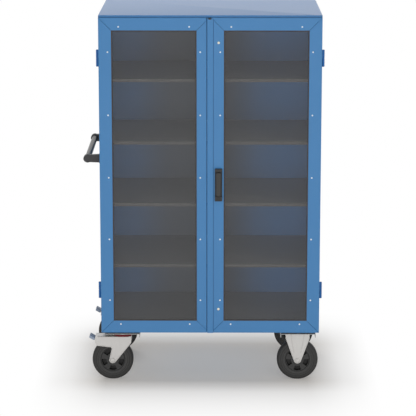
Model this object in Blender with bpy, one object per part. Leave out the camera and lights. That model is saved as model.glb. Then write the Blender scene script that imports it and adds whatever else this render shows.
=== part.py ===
"""Cupboard trolley: a sheet-steel cabinet on four castors, with two framed see-through doors.

Metres, +Z up, doors facing -Y, push bar on the left (-X).
The origin is the middle of the bounding box, on the floor.
"""
import bpy
import bmesh
import math
from mathutils import Matrix, Vector

# Driving dimensions of the whole trolley
cabinet_width = 1.050
cabinet_depth = 0.700
overall_height = 1.790
castor_height = 0.245
wheel_diameter = 0.200
shelf_count = 4
shelf_first_top = 0.585
shelf_top_room = 0.305
push_bar_height = 1.100

# Clearances shared by pieces that touch or pass each other
touch_gap = 0.0003
running_gap = 0.0006
cut_overrun = 0.002

# Roof
roof_sheet = 0.002
roof_lip = 0.0095
roof_header_depth = 0.030
roof_header_back = 0.012

# Doors
door_roof_gap = 0.0015
door_bottom = 0.255
door_depth = 0.0295
door_sheet = 0.002
door_face = 0.060
door_middle_gap = 0.008
door_back_flange = 0.015
door_panel_gap = 0.002
pane_thickness = 0.004
pane_overlap = 0.030
strip_left_reach = 0.015
strip_right_reach = 0.014
strip_thickness = 0.003
strip_leg = 0.024
strip_door_gap = 0.002

# Cabinet walls and floor
side_depth = 0.030
side_sheet = 0.0015
back_depth = 0.020
floor_height = 0.036
floor_sheet = 0.002
channel_width = 0.170
channel_height = 0.018
channel_sheet = 0.003
channel_front_setback = 0.004
castor_inset = 0.100
castor_edge_inset = 0.093

# Shelves and their uprights
shelf_sheet = 0.0015
shelf_lip = 0.016
shelf_front_setback = 0.0135
shelf_back_gap = 0.004
upright_width = 0.040
upright_depth = 0.026
upright_sheet = 0.002
upright_setback = 0.070

# Door hinges
hinge_barrel = 0.0125
hinge_pin = 0.006
hinge_length = 0.080
hinge_top_drop = 0.194
hinge_bottom_rise = 0.206
hinge_leaf = 0.002
hinge_door_leaf_reach = 0.024
hinge_body_leaf_reach = 0.036

# Push bar
push_bar_diameter = 0.028
push_bar_wall = 0.002
push_bar_offset = 0.060
push_bar_front_setback = 0.046
push_bar_length = 0.607
bracket_boss = 0.040
bracket_length = 0.034
bracket_root_height = 0.047
bracket_plate = 0.006
bracket_socket_depth = 0.020

# Lock on the right door
lock_line = 0.0395
lock_axis_height = 1.036
handle_width = 0.035
handle_above_axis = 0.0265
handle_below_axis = 0.1285
handle_base_thickness = 0.012
handle_base_wall = 0.002
handle_cap_thickness = 0.022
handle_boss_thickness = 0.024
lever_radius = 0.013
lever_reach = 0.1045
lever_tip_width = 0.022
lever_thickness = 0.0165
lever_pin_depth = 0.004
lever_pin = 0.005
lever_slot = 0.0086
lever_slot_below_pin = 0.006
spindle_diameter = 0.012
spindle_tongue = 0.008
spindle_tongue_height = 0.0088
spindle_door_hole = 0.014
cam_radius = 0.024
cam_thickness = 0.003
cam_door_clearance = 0.011
cylinder_diameter = 0.017
cylinder_height_below_axis = 0.1165
cylinder_key_slot = 0.0025
cylinder_key_slot_length = 0.009
cylinder_key_slot_depth = 0.005
rod_width = 0.008
rod_thickness = 0.004
rod_axis_gap = 0.020
guide_width = 0.018
guide_height = 0.024
guide_wall = 0.0035
guide_from_door_end = 0.118
pane_notch_half = 0.030
pane_notch_reach = 0.018

# Castors
wheel_width = 0.050
rim_diameter = 0.116
hub_length = 0.056
rim_web = 0.022
axle_diameter = 0.012
axle_nut = 0.020
castor_trail = 0.050
fork_sheet = 0.004
fork_gap = 0.003
fork_crown_drop = 0.026
fork_end_radius = 0.0165
fork_front_reach = 0.084
fork_rear_reach = 0.091
fixed_fork_half = 0.058
kingpin_diameter = 0.016
top_plate_length = 0.135
top_plate_width = 0.110
top_plate_sheet = 0.005
race_diameter = 0.086
seal_diameter = 0.093
seal_bore = 0.060
pedal_pivot_out = 0.058
pedal_pivot_up = 0.098
pedal_hub = 0.014
pedal_pad_length = 0.028
pedal_pad_reach = 0.118
pedal_thickness = 0.006
pedal_tilt_degrees = 30
seal_height = 0.0095

# Shares of the sizes they follow
hub_wall_share = 1.5
web_reach_share = 0.76
hood_height_share = 0.88
hood_low_share = 0.75
corner_out_share = 0.5
corner_up_share = 0.66
leg_edge_out_share = 0.14
leg_edge_up_share = 0.58
pad_rise_share = 0.68
bracket_neck_share = 0.8

# Places worked out from the sizes above, in the cabinet's own frame, whose origin is its middle on the floor
half_width = cabinet_width / 2
half_depth = cabinet_depth / 2
door_front = -half_depth
door_back = door_front + door_depth
panel_front = door_back + door_panel_gap
hinge_y = (door_back + panel_front) / 2
hinge_x = half_width + hinge_barrel / 2 + touch_gap
door_top = overall_height - roof_lip - door_roof_gap
cabinet_bottom = castor_height + channel_sheet
side_bottom = cabinet_bottom + touch_gap
side_top = overall_height - roof_lip - touch_gap
door_centre_height = (door_top + door_bottom) / 2
push_bar_x = -half_width - push_bar_offset
lever_front = door_front - touch_gap - handle_base_thickness - running_gap - lever_thickness
lowest_x = push_bar_x - bracket_boss / 2
highest_x = hinge_x + hinge_barrel / 2
shift_x = -(lowest_x + highest_x) / 2
shift_y = -(lever_front + half_depth) / 2
place = Vector((shift_x, shift_y, 0))
wheel_radius = wheel_diameter / 2
swivel_x = -half_width + castor_inset
fixed_x = half_width - castor_inset
castor_track_half = half_depth - castor_edge_inset

# Numbers of sides of the round pieces
round_sides = 24
wheel_sides = 40
small_sides = 16

for left_over in list(bpy.data.objects):
    bpy.data.objects.remove(left_over, do_unlink=True)


def finish_material(name, colour, roughness, metallic, alpha=1.0):
    """A Principled material in the piece's own colour."""
    material = bpy.data.materials.new(name)
    material.use_nodes = True
    shader = material.node_tree.nodes["Principled BSDF"]
    shader.inputs["Base Color"].default_value = (*colour, 1)
    shader.inputs["Roughness"].default_value = roughness
    shader.inputs["Metallic"].default_value = metallic
    shader.inputs["Alpha"].default_value = alpha
    return material


blue_paint = finish_material("blue_powder_coat", (0.083, 0.235, 0.496), 0.45, 0.0)
dark_blue_paint = finish_material("dark_blue_powder_coat", (0.025, 0.09, 0.28), 0.45, 0.0)
smoked_sheet = finish_material("smoked_acrylic", (0.06, 0.06, 0.065), 0.1, 0.0, 0.45)
galvanised = finish_material("galvanised_steel", (0.40, 0.41, 0.42), 0.45, 0.9)
zinc = finish_material("zinc_plated_steel", (0.62, 0.62, 0.60), 0.3, 0.9)
tube_metal = finish_material("brushed_tube", (0.45, 0.45, 0.44), 0.3, 0.9)
black_plastic = finish_material("black_plastic", (0.035, 0.035, 0.037), 0.5, 0.0)
rubber = finish_material("black_rubber", (0.045, 0.045, 0.047), 0.8, 0.0)
red_seal = finish_material("red_seal_plastic", (0.16, 0.012, 0.018), 0.45, 0.0)
pedal_paint = finish_material("pedal_plastic", (0.30, 0.35, 0.45), 0.5, 0.0)


def joint_frame(name, at, parent=None):
    """An empty on a joint's axis. Its place is given in the cabinet's frame."""
    empty = bpy.data.objects.new(name, None)
    bpy.context.scene.collection.objects.link(empty)
    if parent:
        empty.parent = parent
        empty.location = Vector(at) - Vector(parent["at"])
    else:
        empty.location = Vector(at) + place
    empty["at"] = list(at)
    return empty


def mesh_for(name, shape, carrier):
    """Turns a shape drawn in the cabinet's frame into a mesh about its carrier's axis."""
    mesh = bpy.data.meshes.new(name)
    bmesh.ops.recalc_face_normals(shape, faces=shape.faces)
    bmesh.ops.translate(shape, vec=-Vector(carrier["at"]), verts=shape.verts)
    shape.to_mesh(mesh)
    shape.free()
    return mesh


def add_piece(name, shape, material, carrier):
    """One named piece, with its origin on the axis of the joint frame that carries it."""
    mesh = mesh_for(name, shape, carrier)
    mesh.materials.append(material)
    piece = bpy.data.objects.new(name, mesh)
    bpy.context.scene.collection.objects.link(piece)
    piece.parent = carrier
    return piece


def combine(piece, name, shape, operation):
    """Boolean of a piece with a hidden solid, drawn in the cabinet's frame like the piece."""
    tool = bpy.data.objects.new(name, mesh_for(name, shape, piece.parent))
    bpy.context.scene.collection.objects.link(tool)
    tool.parent = piece.parent
    tool.hide_render = True
    tool.display_type = "WIRE"
    boolean = piece.modifiers.new(name, "BOOLEAN")
    boolean.operation = operation
    boolean.solver = "EXACT"
    boolean.object = tool


def cut(piece, name, shape):
    """Takes a shape out of a piece."""
    combine(piece, name, shape, "DIFFERENCE")


def union(piece, name, shape):
    """Welds another solid onto a piece."""
    combine(piece, name, shape, "UNION")


def box(low, high, into=None):
    """A box between two corners."""
    shape = into or bmesh.new()
    low, high = Vector(low), Vector(high)
    made = bmesh.ops.create_cube(shape, size=1)["verts"]
    size = high - low
    matrix = Matrix.Translation((low + high) / 2) @ Matrix.Diagonal((*size, 1))
    bmesh.ops.transform(shape, matrix=matrix, verts=made)
    return shape


def extruded(outline, axis, start, end, into=None):
    """A closed outline of two-coordinate points, extruded along X, Y or Z from start to end.

    The outline's coordinates are (y, z) for X, (x, z) for Y and (x, y) for Z.
    """
    shape = into or bmesh.new()

    def point(pair, along):
        if axis == "X":
            return (along, pair[0], pair[1])
        if axis == "Y":
            return (pair[0], along, pair[1])
        return (pair[0], pair[1], along)

    near = [shape.verts.new(point(pair, start)) for pair in outline]
    far = [shape.verts.new(point(pair, end)) for pair in outline]
    count = len(outline)
    shape.faces.new(near)
    shape.faces.new(list(reversed(far)))
    for i in range(count):
        j = (i + 1) % count
        shape.faces.new((near[i], far[i], far[j], near[j]))
    return shape


def ring_of(rings, into=None):
    """Joins closed rings of points one after another, and the last to the first, into one tube-like solid."""
    shape = into or bmesh.new()
    made = [[shape.verts.new(point) for point in ring] for ring in rings]
    count = len(rings[0])
    for this, following in zip(made, made[1:] + made[:1]):
        for i in range(count):
            j = (i + 1) % count
            shape.faces.new((this[i], following[i], following[j], this[j]))
    return shape


def turned(profile, axis, centre, sides, into=None):
    """A solid of revolution. Profile points are (radius, along); a zero radius closes the end at a pole."""
    shape = into or bmesh.new()

    def point(radius, along, angle):
        across, up = radius * math.cos(angle), radius * math.sin(angle)
        if axis == "X":
            offset = Vector((along, across, up))
        elif axis == "Y":
            offset = Vector((across, along, up))
        else:
            offset = Vector((across, up, along))
        return Vector(centre) + offset

    loops = []
    for radius, along in profile:
        if radius == 0:
            loops.append([shape.verts.new(point(0, along, 0))])
        else:
            steps = range(sides)
            loops.append([shape.verts.new(point(radius, along, 2 * math.pi * k / sides)) for k in steps])
    pairs = list(zip(loops, loops[1:]))
    if profile[0][0] and profile[-1][0]:
        pairs.append((loops[-1], loops[0]))
    for a, b in pairs:
        for k in range(sides):
            n = (k + 1) % sides
            corners = [a[k % len(a)], a[n % len(a)], b[n % len(b)], b[k % len(b)]]
            distinct = list(dict.fromkeys(corners))
            if len(distinct) > 2:
                shape.faces.new(distinct)
    return shape


def rod_shape(radius, axis, centre, start, end, sides=round_sides, into=None):
    """A plain round bar."""
    return turned([(0, start), (radius, start), (radius, end), (0, end)], axis, centre, sides, into)


def tube_shape(radius, bore, axis, centre, start, end, sides=round_sides, into=None):
    """A round bar with a hole through it."""
    profile = [(bore, start), (radius, start), (radius, end), (bore, end)]
    return turned(profile, axis, centre, sides, into)


def arc(centre, radius, first, last, steps):
    """Points along a round stretch of an outline, angles in degrees."""
    angles = [math.radians(first + (last - first) * k / steps) for k in range(steps + 1)]
    return [(centre[0] + radius * math.cos(a), centre[1] + radius * math.sin(a)) for a in angles]


def tray(low, high, axis, wall_side, sheet):
    """A folded sheet tray: one broad wall on the named side of the axis, four returns, open opposite."""
    shape = box(low, high)
    shape.normal_update()
    direction = {"X": 0, "Y": 1, "Z": 2}[axis]
    mouth = [face for face in shape.faces if round(face.normal[direction]) == -wall_side]
    bmesh.ops.inset_region(shape, faces=mouth, thickness=sheet, use_even_offset=True)
    pushed = bmesh.ops.extrude_discrete_faces(shape, faces=mouth)["faces"]
    inward = [0, 0, 0]
    inward[direction] = wall_side * (high[direction] - low[direction] - sheet)
    verts = list({vert for face in pushed for vert in face.verts})
    bmesh.ops.translate(shape, vec=inward, verts=verts)
    return shape


cabinet = joint_frame("cabinet_frame", (0, 0, 0))

# Roof: a folded tray, and under its front a header rail behind the tops of the doors
roof_low = (-half_width, door_front, overall_height - roof_lip)
roof_high = (half_width, half_depth, overall_height)
add_piece("roof_cap", tray(roof_low, roof_high, "Z", 1, roof_sheet), blue_paint, cabinet)
header_top = overall_height - roof_sheet - touch_gap
header_bottom = overall_height - roof_sheet - roof_header_depth
header_outline = [
    (panel_front, header_bottom),
    (panel_front + roof_header_back, header_bottom),
    (panel_front + roof_header_back, header_bottom + roof_sheet),
    (panel_front + roof_sheet, header_bottom + roof_sheet),
    (panel_front + roof_sheet, header_top),
    (panel_front, header_top),
]
header_end = half_width - side_depth - touch_gap
header_shape = extruded(header_outline, "X", -header_end, header_end)
add_piece("roof_header_rail", header_shape, blue_paint, cabinet)

# Side walls: trays that open inwards and hold the shelf uprights
for side, name in ((-1, "left_side_panel"), (1, "right_side_panel")):
    outer = side * half_width
    inner = side * (half_width - side_depth)
    low = (min(outer, inner), panel_front, side_bottom)
    high = (max(outer, inner), half_depth, side_top)
    add_piece(name, tray(low, high, "X", side, side_sheet), blue_paint, cabinet)

# Back wall, between the side walls
back_half = half_width - side_depth - touch_gap
back_low = (-back_half, half_depth - back_depth, side_bottom)
back_high = (back_half, half_depth, side_top)
add_piece("back_panel", tray(back_low, back_high, "Y", 1, side_sheet), blue_paint, cabinet)

# Floor tray, between the side walls and in front of the back wall
floor_low = (-back_half, panel_front, side_bottom)
floor_high = (back_half, half_depth - back_depth - touch_gap, side_bottom + floor_height)
add_piece("floor_tray", tray(floor_low, floor_high, "Z", 1, floor_sheet), blue_paint, cabinet)

# Castor channels across the underside, flanges down
channel_bottom = cabinet_bottom - channel_height
for side, name in ((-1, "left_castor_channel"), (1, "right_castor_channel")):
    middle = side * (half_width - castor_inset)
    half = channel_width / 2
    outline = [
        (middle - half, channel_bottom),
        (middle - half + channel_sheet, channel_bottom),
        (middle - half + channel_sheet, castor_height),
        (middle + half - channel_sheet, castor_height),
        (middle + half - channel_sheet, channel_bottom),
        (middle + half, channel_bottom),
        (middle + half, cabinet_bottom),
        (middle - half, cabinet_bottom),
    ]
    front = door_front + channel_front_setback
    back = half_depth - channel_front_setback
    add_piece(name, extruded(outline, "Y", front, back), galvanised, cabinet)

# Uprights: channels that stand in the pockets of the side walls
upright_bottom = side_bottom + side_sheet + touch_gap
upright_top = side_top - side_sheet - touch_gap
upright_ys = {
    "front": panel_front + upright_setback,
    "rear": half_depth - back_depth - upright_setback,
}
wall = half_width - side_sheet - touch_gap
face = wall - upright_depth
for side, side_word in ((-1, "left"), (1, "right")):
    for end_word, middle in upright_ys.items():
        half = upright_width / 2
        outline = [
            (side * face, middle - half),
            (side * face, middle + half),
            (side * wall, middle + half),
            (side * wall, middle + half - upright_sheet),
            (side * (face + upright_sheet), middle + half - upright_sheet),
            (side * (face + upright_sheet), middle - half + upright_sheet),
            (side * wall, middle - half + upright_sheet),
            (side * wall, middle - half),
        ]
        shape = extruded(outline, "Z", upright_bottom, upright_top)
        add_piece(side_word + "_" + end_word + "_upright", shape, galvanised, cabinet)

# Shelves: folded trays, open underneath, between the uprights
shelf_half = face - touch_gap
shelf_front = panel_front + shelf_front_setback
shelf_back = half_depth - back_depth - shelf_back_gap
shelf_pitch = (overall_height - shelf_top_room - shelf_first_top) / (shelf_count - 1)
for count in range(shelf_count):
    top = shelf_first_top + shelf_pitch * count
    low = (-shelf_half, shelf_front, top - shelf_lip)
    high = (shelf_half, shelf_back, top)
    name = "shelf_" + str(shelf_count - count)
    add_piece(name, tray(low, high, "Z", 1, shelf_sheet), galvanised, cabinet)

# Push bar and its two brackets, on the left wall
bar_front = door_front + push_bar_front_setback
bar_back = bar_front + push_bar_length
bar_centre = (push_bar_x, 0, push_bar_height)
bar_inner_start = bar_front + bracket_length - bracket_socket_depth + touch_gap
bar_inner_end = bar_back - bracket_length + bracket_socket_depth - touch_gap
bar_shape = tube_shape(
    push_bar_diameter / 2,
    push_bar_diameter / 2 - push_bar_wall,
    "Y",
    bar_centre,
    bar_inner_start,
    bar_inner_end,
)
add_piece("push_bar", bar_shape, tube_metal, cabinet)
bracket_wall_x = -half_width - touch_gap
for word, outer_end, inward in (("front", bar_front, 1), ("rear", bar_back, -1)):
    boss = bracket_boss / 2
    root_half = bracket_root_height / 2
    round_part = arc((push_bar_x, push_bar_height), boss, 80, 280, 10)
    outline = round_part + [
        (bracket_wall_x - 2 * bracket_plate, push_bar_height - boss * bracket_neck_share),
        (bracket_wall_x - bracket_plate, push_bar_height - root_half),
        (bracket_wall_x, push_bar_height - root_half),
        (bracket_wall_x, push_bar_height + root_half),
        (bracket_wall_x - bracket_plate, push_bar_height + root_half),
        (bracket_wall_x - 2 * bracket_plate, push_bar_height + boss * bracket_neck_share),
    ]
    inner_end = outer_end + inward * bracket_length
    shape = extruded(outline, "Y", min(outer_end, inner_end), max(outer_end, inner_end))
    bracket = add_piece("push_bar_" + word + "_bracket", shape, black_plastic, cabinet)
    socket_bottom = inner_end - inward * bracket_socket_depth
    past_end = inner_end + inward * cut_overrun
    socket = rod_shape(
        push_bar_diameter / 2 + touch_gap,
        "Y",
        bar_centre,
        min(socket_bottom, past_end),
        max(socket_bottom, past_end),
    )
    cut(bracket, word + "_bar_socket", socket)

# Hinges: the lower knuckle and pin stay on the cabinet, the upper knuckle swings with the door
hinge_heights = {"upper": door_top - hinge_top_drop, "lower": door_bottom + hinge_bottom_rise}
left_door = joint_frame("left_door_hinge_axis", (-hinge_x, hinge_y, door_centre_height), cabinet)
right_door = joint_frame("right_door_hinge_axis", (hinge_x, hinge_y, door_centre_height), cabinet)
barrel = hinge_barrel / 2
for side, side_word, door in ((-1, "left", left_door), (1, "right", right_door)):
    for height_word, height in hinge_heights.items():
        axis_x = side * hinge_x
        leaf_in = side * (half_width + touch_gap)
        leaf_out = side * (half_width + touch_gap + hinge_leaf)
        low_z = height - hinge_length / 2
        high_z = height + hinge_length / 2
        leaf_low_x, leaf_high_x = min(leaf_in, leaf_out), max(leaf_in, leaf_out)
        body_leaf = box(
            (leaf_low_x, hinge_y, low_z),
            (leaf_high_x, hinge_y + hinge_body_leaf_reach, height - touch_gap / 2),
        )
        name = side_word + "_" + height_word + "_hinge"
        body_half = add_piece(name + "_body_leaf", body_leaf, dark_blue_paint, cabinet)
        profile = [
            (0, low_z),
            (barrel, low_z),
            (barrel, height - touch_gap / 2),
            (hinge_pin / 2, height - touch_gap / 2),
            (hinge_pin / 2, high_z - running_gap),
            (0, high_z - running_gap),
        ]
        pin = turned(profile, "Z", (axis_x, hinge_y, 0), small_sides)
        union(body_half, name + "_pin", pin)
        door_leaf = box(
            (leaf_low_x, hinge_y - hinge_door_leaf_reach, height + touch_gap / 2),
            (leaf_high_x, hinge_y, high_z),
        )
        knuckle = add_piece(name + "_door_leaf", door_leaf, dark_blue_paint, door)
        bore = hinge_pin / 2 + touch_gap
        sleeve_low = height + touch_gap / 2
        sleeve = tube_shape(barrel, bore, "Z", (axis_x, hinge_y, 0), sleeve_low, high_z, small_sides)
        union(knuckle, name + "_knuckle", sleeve)
        clear = rod_shape(bore, "Z", (axis_x, hinge_y, 0), low_z, high_z + cut_overrun, small_sides)
        cut(knuckle, name + "_pin_way", clear)


def frame_ring(low, high, faces, front, back):
    """A door frame of folded sheet with mitred corners: broad face, outer wall and a narrow back flange.

    The faces are the widths of the left, right, bottom and top members.
    """
    sheet = [door_sheet] * 4
    flange = [door_back_flange] * 4
    edge = [0] * 4
    profile = [
        (edge, front),
        (faces, front),
        (faces, front + door_sheet),
        (sheet, front + door_sheet),
        (sheet, back - door_sheet),
        (flange, back - door_sheet),
        (flange, back),
        (edge, back),
    ]
    rings = []
    for (left, right, bottom, top), y in profile:
        xs = (low[0] + left, high[0] - right)
        zs = (low[1] + bottom, high[1] - top)
        rings.append([(xs[0], y, zs[0]), (xs[1], y, zs[0]), (xs[1], y, zs[1]), (xs[0], y, zs[1])])
    return ring_of(rings)


# Doors: a mitred frame, and a see-through sheet screwed behind its face
strip_edge = -strip_left_reach - strip_door_gap
pane_inner_edge = door_middle_gap / 2 + door_face
left_low, left_high = (-half_width, door_bottom), (strip_edge, door_top)
right_low, right_high = (door_middle_gap / 2, door_bottom), (half_width, door_top)
left_faces = (door_face, pane_inner_edge + strip_edge, door_face, door_face)
right_faces = (door_face, door_face, door_face, door_face)
left_ring = frame_ring(left_low, left_high, left_faces, door_front, door_back)
right_ring = frame_ring(right_low, right_high, right_faces, door_front, door_back)
add_piece("left_door_frame", left_ring, blue_paint, left_door)
right_frame = add_piece("right_door_frame", right_ring, blue_paint, right_door)

pane_front = door_front + door_sheet + touch_gap
pane_back = pane_front + pane_thickness
pane_outer = half_width - door_face + pane_overlap
pane_inner = pane_inner_edge - pane_overlap
pane_low = door_bottom + door_face - pane_overlap
pane_high = door_top - door_face + pane_overlap
guide_heights = {
    "upper": door_top - guide_from_door_end,
    "lower": door_bottom + guide_from_door_end,
}
left_outline = [
    (-pane_outer, pane_low),
    (-pane_inner, pane_low),
    (-pane_inner, pane_high),
    (-pane_outer, pane_high),
]
right_outline = [(pane_outer, pane_low), (pane_outer, pane_high), (pane_inner, pane_high)]
for height in (guide_heights["upper"], lock_axis_height, guide_heights["lower"]):
    right_outline += [
        (pane_inner, height + pane_notch_half),
        (pane_inner + pane_notch_reach, height + pane_notch_half),
        (pane_inner + pane_notch_reach, height - pane_notch_half),
        (pane_inner, height - pane_notch_half),
    ]
right_outline.append((pane_inner, pane_low))
add_piece("left_door_pane", extruded(left_outline, "Y", pane_front, pane_back), smoked_sheet, left_door)
add_piece("right_door_pane", extruded(right_outline, "Y", pane_front, pane_back), smoked_sheet, right_door)

# Cover strip over the joint of the doors, fixed to the right door
strip_back = door_front - touch_gap
strip_front = strip_back - strip_thickness
strip_outline = [
    (-strip_left_reach, strip_front),
    (strip_right_reach, strip_front),
    (strip_right_reach, strip_back),
    (-strip_left_reach + strip_thickness, strip_back),
    (-strip_left_reach + strip_thickness, door_front + strip_leg),
    (-strip_left_reach, door_front + strip_leg),
]
strip_shape = extruded(strip_outline, "Z", door_bottom, door_top - strip_thickness)
add_piece("door_cover_strip", strip_shape, blue_paint, right_door)

# Handle base: a plate with a raised cap above the lever and a raised lock boss below it
base_back = door_front - touch_gap
base_front = base_back - handle_base_thickness
cap_front = base_back - handle_cap_thickness
boss_front = base_back - handle_boss_thickness
base_high = lock_axis_height + handle_above_axis
base_low = lock_axis_height - handle_below_axis
cap_low = lock_axis_height + lever_radius + running_gap
boss_high = lock_axis_height - lever_reach - running_gap
base_outline = [
    (base_back, base_low),
    (boss_front, base_low),
    (boss_front, boss_high),
    (base_front, boss_high),
    (base_front, cap_low),
    (cap_front, cap_low),
    (cap_front, base_high),
    (base_back, base_high),
]
handle_half = handle_width / 2
base_shape = extruded(base_outline, "X", lock_line - handle_half, lock_line + handle_half)
handle_base = add_piece("lock_handle_base", base_shape, black_plastic, right_door)
spindle_radius = spindle_diameter / 2
lock_centre = (lock_line, 0, lock_axis_height)
spindle_hole = rod_shape(
    spindle_radius + touch_gap,
    "Y",
    lock_centre,
    base_front - cut_overrun,
    base_back + cut_overrun,
)
cut(handle_base, "handle_spindle_hole", spindle_hole)
cylinder_height = lock_axis_height - cylinder_height_below_axis
cylinder_centre = (lock_line, 0, cylinder_height)
cylinder_back = base_back - handle_base_wall
cylinder_bore = rod_shape(
    cylinder_diameter / 2 + touch_gap,
    "Y",
    cylinder_centre,
    boss_front - cut_overrun,
    cylinder_back,
)
cut(handle_base, "handle_cylinder_bore", cylinder_bore)

# Lock cylinder, turned by its key
key_joint = joint_frame("key_axis", (lock_line, boss_front, cylinder_height), right_door)
cylinder_shape = rod_shape(
    cylinder_diameter / 2,
    "Y",
    cylinder_centre,
    boss_front - running_gap,
    cylinder_back - touch_gap,
)
cylinder = add_piece("lock_cylinder", cylinder_shape, zinc, key_joint)
key_slot = box(
    (
        lock_line - cylinder_key_slot / 2,
        boss_front - cut_overrun,
        cylinder_height - cylinder_key_slot_length / 2,
    ),
    (
        lock_line + cylinder_key_slot / 2,
        boss_front + cylinder_key_slot_depth,
        cylinder_height + cylinder_key_slot_length / 2,
    ),
)
cut(cylinder, "key_slot", key_slot)

# Spindle: a tongue and cross pin for the lever, a shaft through the door, and the cam plate behind its face
turn_joint = joint_frame("lever_turn_axis", (lock_line, door_front, lock_axis_height), right_door)
lever_back = base_front - running_gap
pin_y = lever_back - lever_pin_depth
tongue_half = spindle_tongue_height / 2
tongue_outline = arc((pin_y, lock_axis_height), tongue_half, 90, 270, 8) + [
    (base_front + spindle_radius / 2, lock_axis_height - tongue_half),
    (base_front + spindle_radius / 2, lock_axis_height + tongue_half),
]
tongue = extruded(
    tongue_outline,
    "X",
    lock_line - spindle_tongue / 2,
    lock_line + spindle_tongue / 2,
)
spindle = add_piece("lock_spindle", tongue, zinc, turn_joint)
cam_front = door_front + door_sheet + cam_door_clearance
cam_back = cam_front + cam_thickness
shaft = rod_shape(spindle_radius, "Y", lock_centre, base_front - touch_gap, cam_front + cam_thickness / 2)
union(spindle, "spindle_shaft", shaft)
cross_pin_half = lever_radius - running_gap
cross_pin = rod_shape(
    lever_pin / 2,
    "X",
    (0, pin_y, lock_axis_height),
    lock_line - cross_pin_half,
    lock_line + cross_pin_half,
    small_sides,
)
union(spindle, "lever_cross_pin", cross_pin)
cam_end = cam_radius / 3
cam_outline = arc((lock_line, lock_axis_height + cam_radius - cam_end), cam_end, 0, 180, 8)
cam_outline += arc((lock_line, lock_axis_height - cam_radius + cam_end), cam_end, 180, 360, 8)
union(spindle, "rod_cam", extruded(cam_outline, "Y", cam_front, cam_back))
face_hole = rod_shape(
    spindle_door_hole / 2,
    "Y",
    lock_centre,
    door_front - cut_overrun,
    door_front + door_sheet + cut_overrun,
)
cut(right_frame, "door_spindle_hole", face_hole)

# Lever: lies along the handle base, lifts on the cross pin, then turns with the spindle
lift_joint = joint_frame("lever_lift_axis", (lock_line, pin_y, lock_axis_height), turn_joint)
lever_front_y = lever_back - lever_thickness
tip_half = lever_tip_width / 2
tip_z = lock_axis_height - lever_reach
tip_round = tip_half / 2
lever_outline = arc((lock_line, lock_axis_height), lever_radius, 0, 180, 12)
lever_outline += arc((lock_line - tip_half + tip_round, tip_z + tip_round), tip_round, 180, 270, 4)
lever_outline += arc((lock_line + tip_half - tip_round, tip_z + tip_round), tip_round, 270, 360, 4)
lever_shape = extruded(lever_outline, "Y", lever_front_y, lever_back)
lever = add_piece("lock_lever", lever_shape, black_plastic, lift_joint)
relief_depth = lever_pin_depth + lever_pin / 2
front_round = lever_thickness / 4
side_view = [
    (lever_back, lock_axis_height),
    (lever_back + cut_overrun, lock_axis_height),
    (lever_back + cut_overrun, tip_z - cut_overrun),
    (lever_front_y + front_round, tip_z - cut_overrun),
    (lever_front_y - cut_overrun, tip_z + front_round),
    (lever_front_y - cut_overrun, lock_axis_height),
]
relief_angle = math.degrees(math.acos((lever_back - relief_depth - pin_y) / lever_radius))
side_view += reversed(arc((pin_y, lock_axis_height), lever_radius, relief_angle, 180, 10))
lever_sides = lever_radius + cut_overrun
side_solid = extruded(side_view, "X", lock_line - lever_sides, lock_line + lever_sides)
combine(lever, "lever_side_view", side_solid, "INTERSECT")
slot_low = (
    lock_line - lever_slot / 2,
    pin_y - tongue_half - running_gap,
    lock_axis_height - lever_slot_below_pin,
)
slot_high = (
    lock_line + lever_slot / 2,
    lever_back + cut_overrun,
    lock_axis_height + lever_radius + cut_overrun,
)
cut(lever, "lever_tongue_slot", box(slot_low, slot_high))
pin_way = rod_shape(
    lever_pin / 2 + touch_gap,
    "X",
    (0, pin_y, lock_axis_height),
    lock_line - lever_sides,
    lock_line + lever_sides,
    small_sides,
)
cut(lever, "lever_pin_way", pin_way)

# Lock rods, drawn in and out by the cam plate, and the guides that hold them to the door
rod_front = cam_back + running_gap
rod_back = rod_front + rod_thickness
rod_half = rod_width / 2
rod_spans = {
    "upper": (lock_axis_height + rod_axis_gap, door_top),
    "lower": (door_bottom, lock_axis_height - rod_axis_gap),
}
for word, (low_z, high_z) in rod_spans.items():
    rod_joint = joint_frame(word + "_rod_slide", (lock_line, rod_front, (low_z + high_z) / 2), right_door)
    bar = box((lock_line - rod_half, rod_front, low_z), (lock_line + rod_half, rod_back, high_z))
    add_piece(word + "_lock_rod", bar, zinc, rod_joint)
    door_edge = door_top if word == "upper" else door_bottom
    slot = box(
        (
            lock_line - rod_half - running_gap,
            rod_front - running_gap,
            door_edge - door_sheet - cut_overrun,
        ),
        (
            lock_line + rod_half + running_gap,
            rod_back + running_gap,
            door_edge + door_sheet + cut_overrun,
        ),
    )
    cut(right_frame, word + "_rod_slot", slot)
    guide_low = guide_heights[word] - guide_height / 2
    guide_high = guide_heights[word] + guide_height / 2
    outer_half = guide_width / 2
    inner_half = rod_half + touch_gap
    outer_ys = (door_front + door_sheet + touch_gap, rod_back + touch_gap + guide_wall)
    inner_ys = (rod_front - touch_gap, rod_back + touch_gap)

    def rectangle(half, ys, z):
        """Four corners of a level rectangle about the lock line."""
        xs = (lock_line - half, lock_line + half)
        return [(xs[0], ys[0], z), (xs[1], ys[0], z), (xs[1], ys[1], z), (xs[0], ys[1], z)]

    guide_rings = [
        rectangle(outer_half, outer_ys, guide_low),
        rectangle(outer_half, outer_ys, guide_high),
        rectangle(inner_half, inner_ys, guide_high),
        rectangle(inner_half, inner_ys, guide_low),
    ]
    add_piece(word + "_rod_guide", ring_of(guide_rings), black_plastic, right_door)


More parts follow.
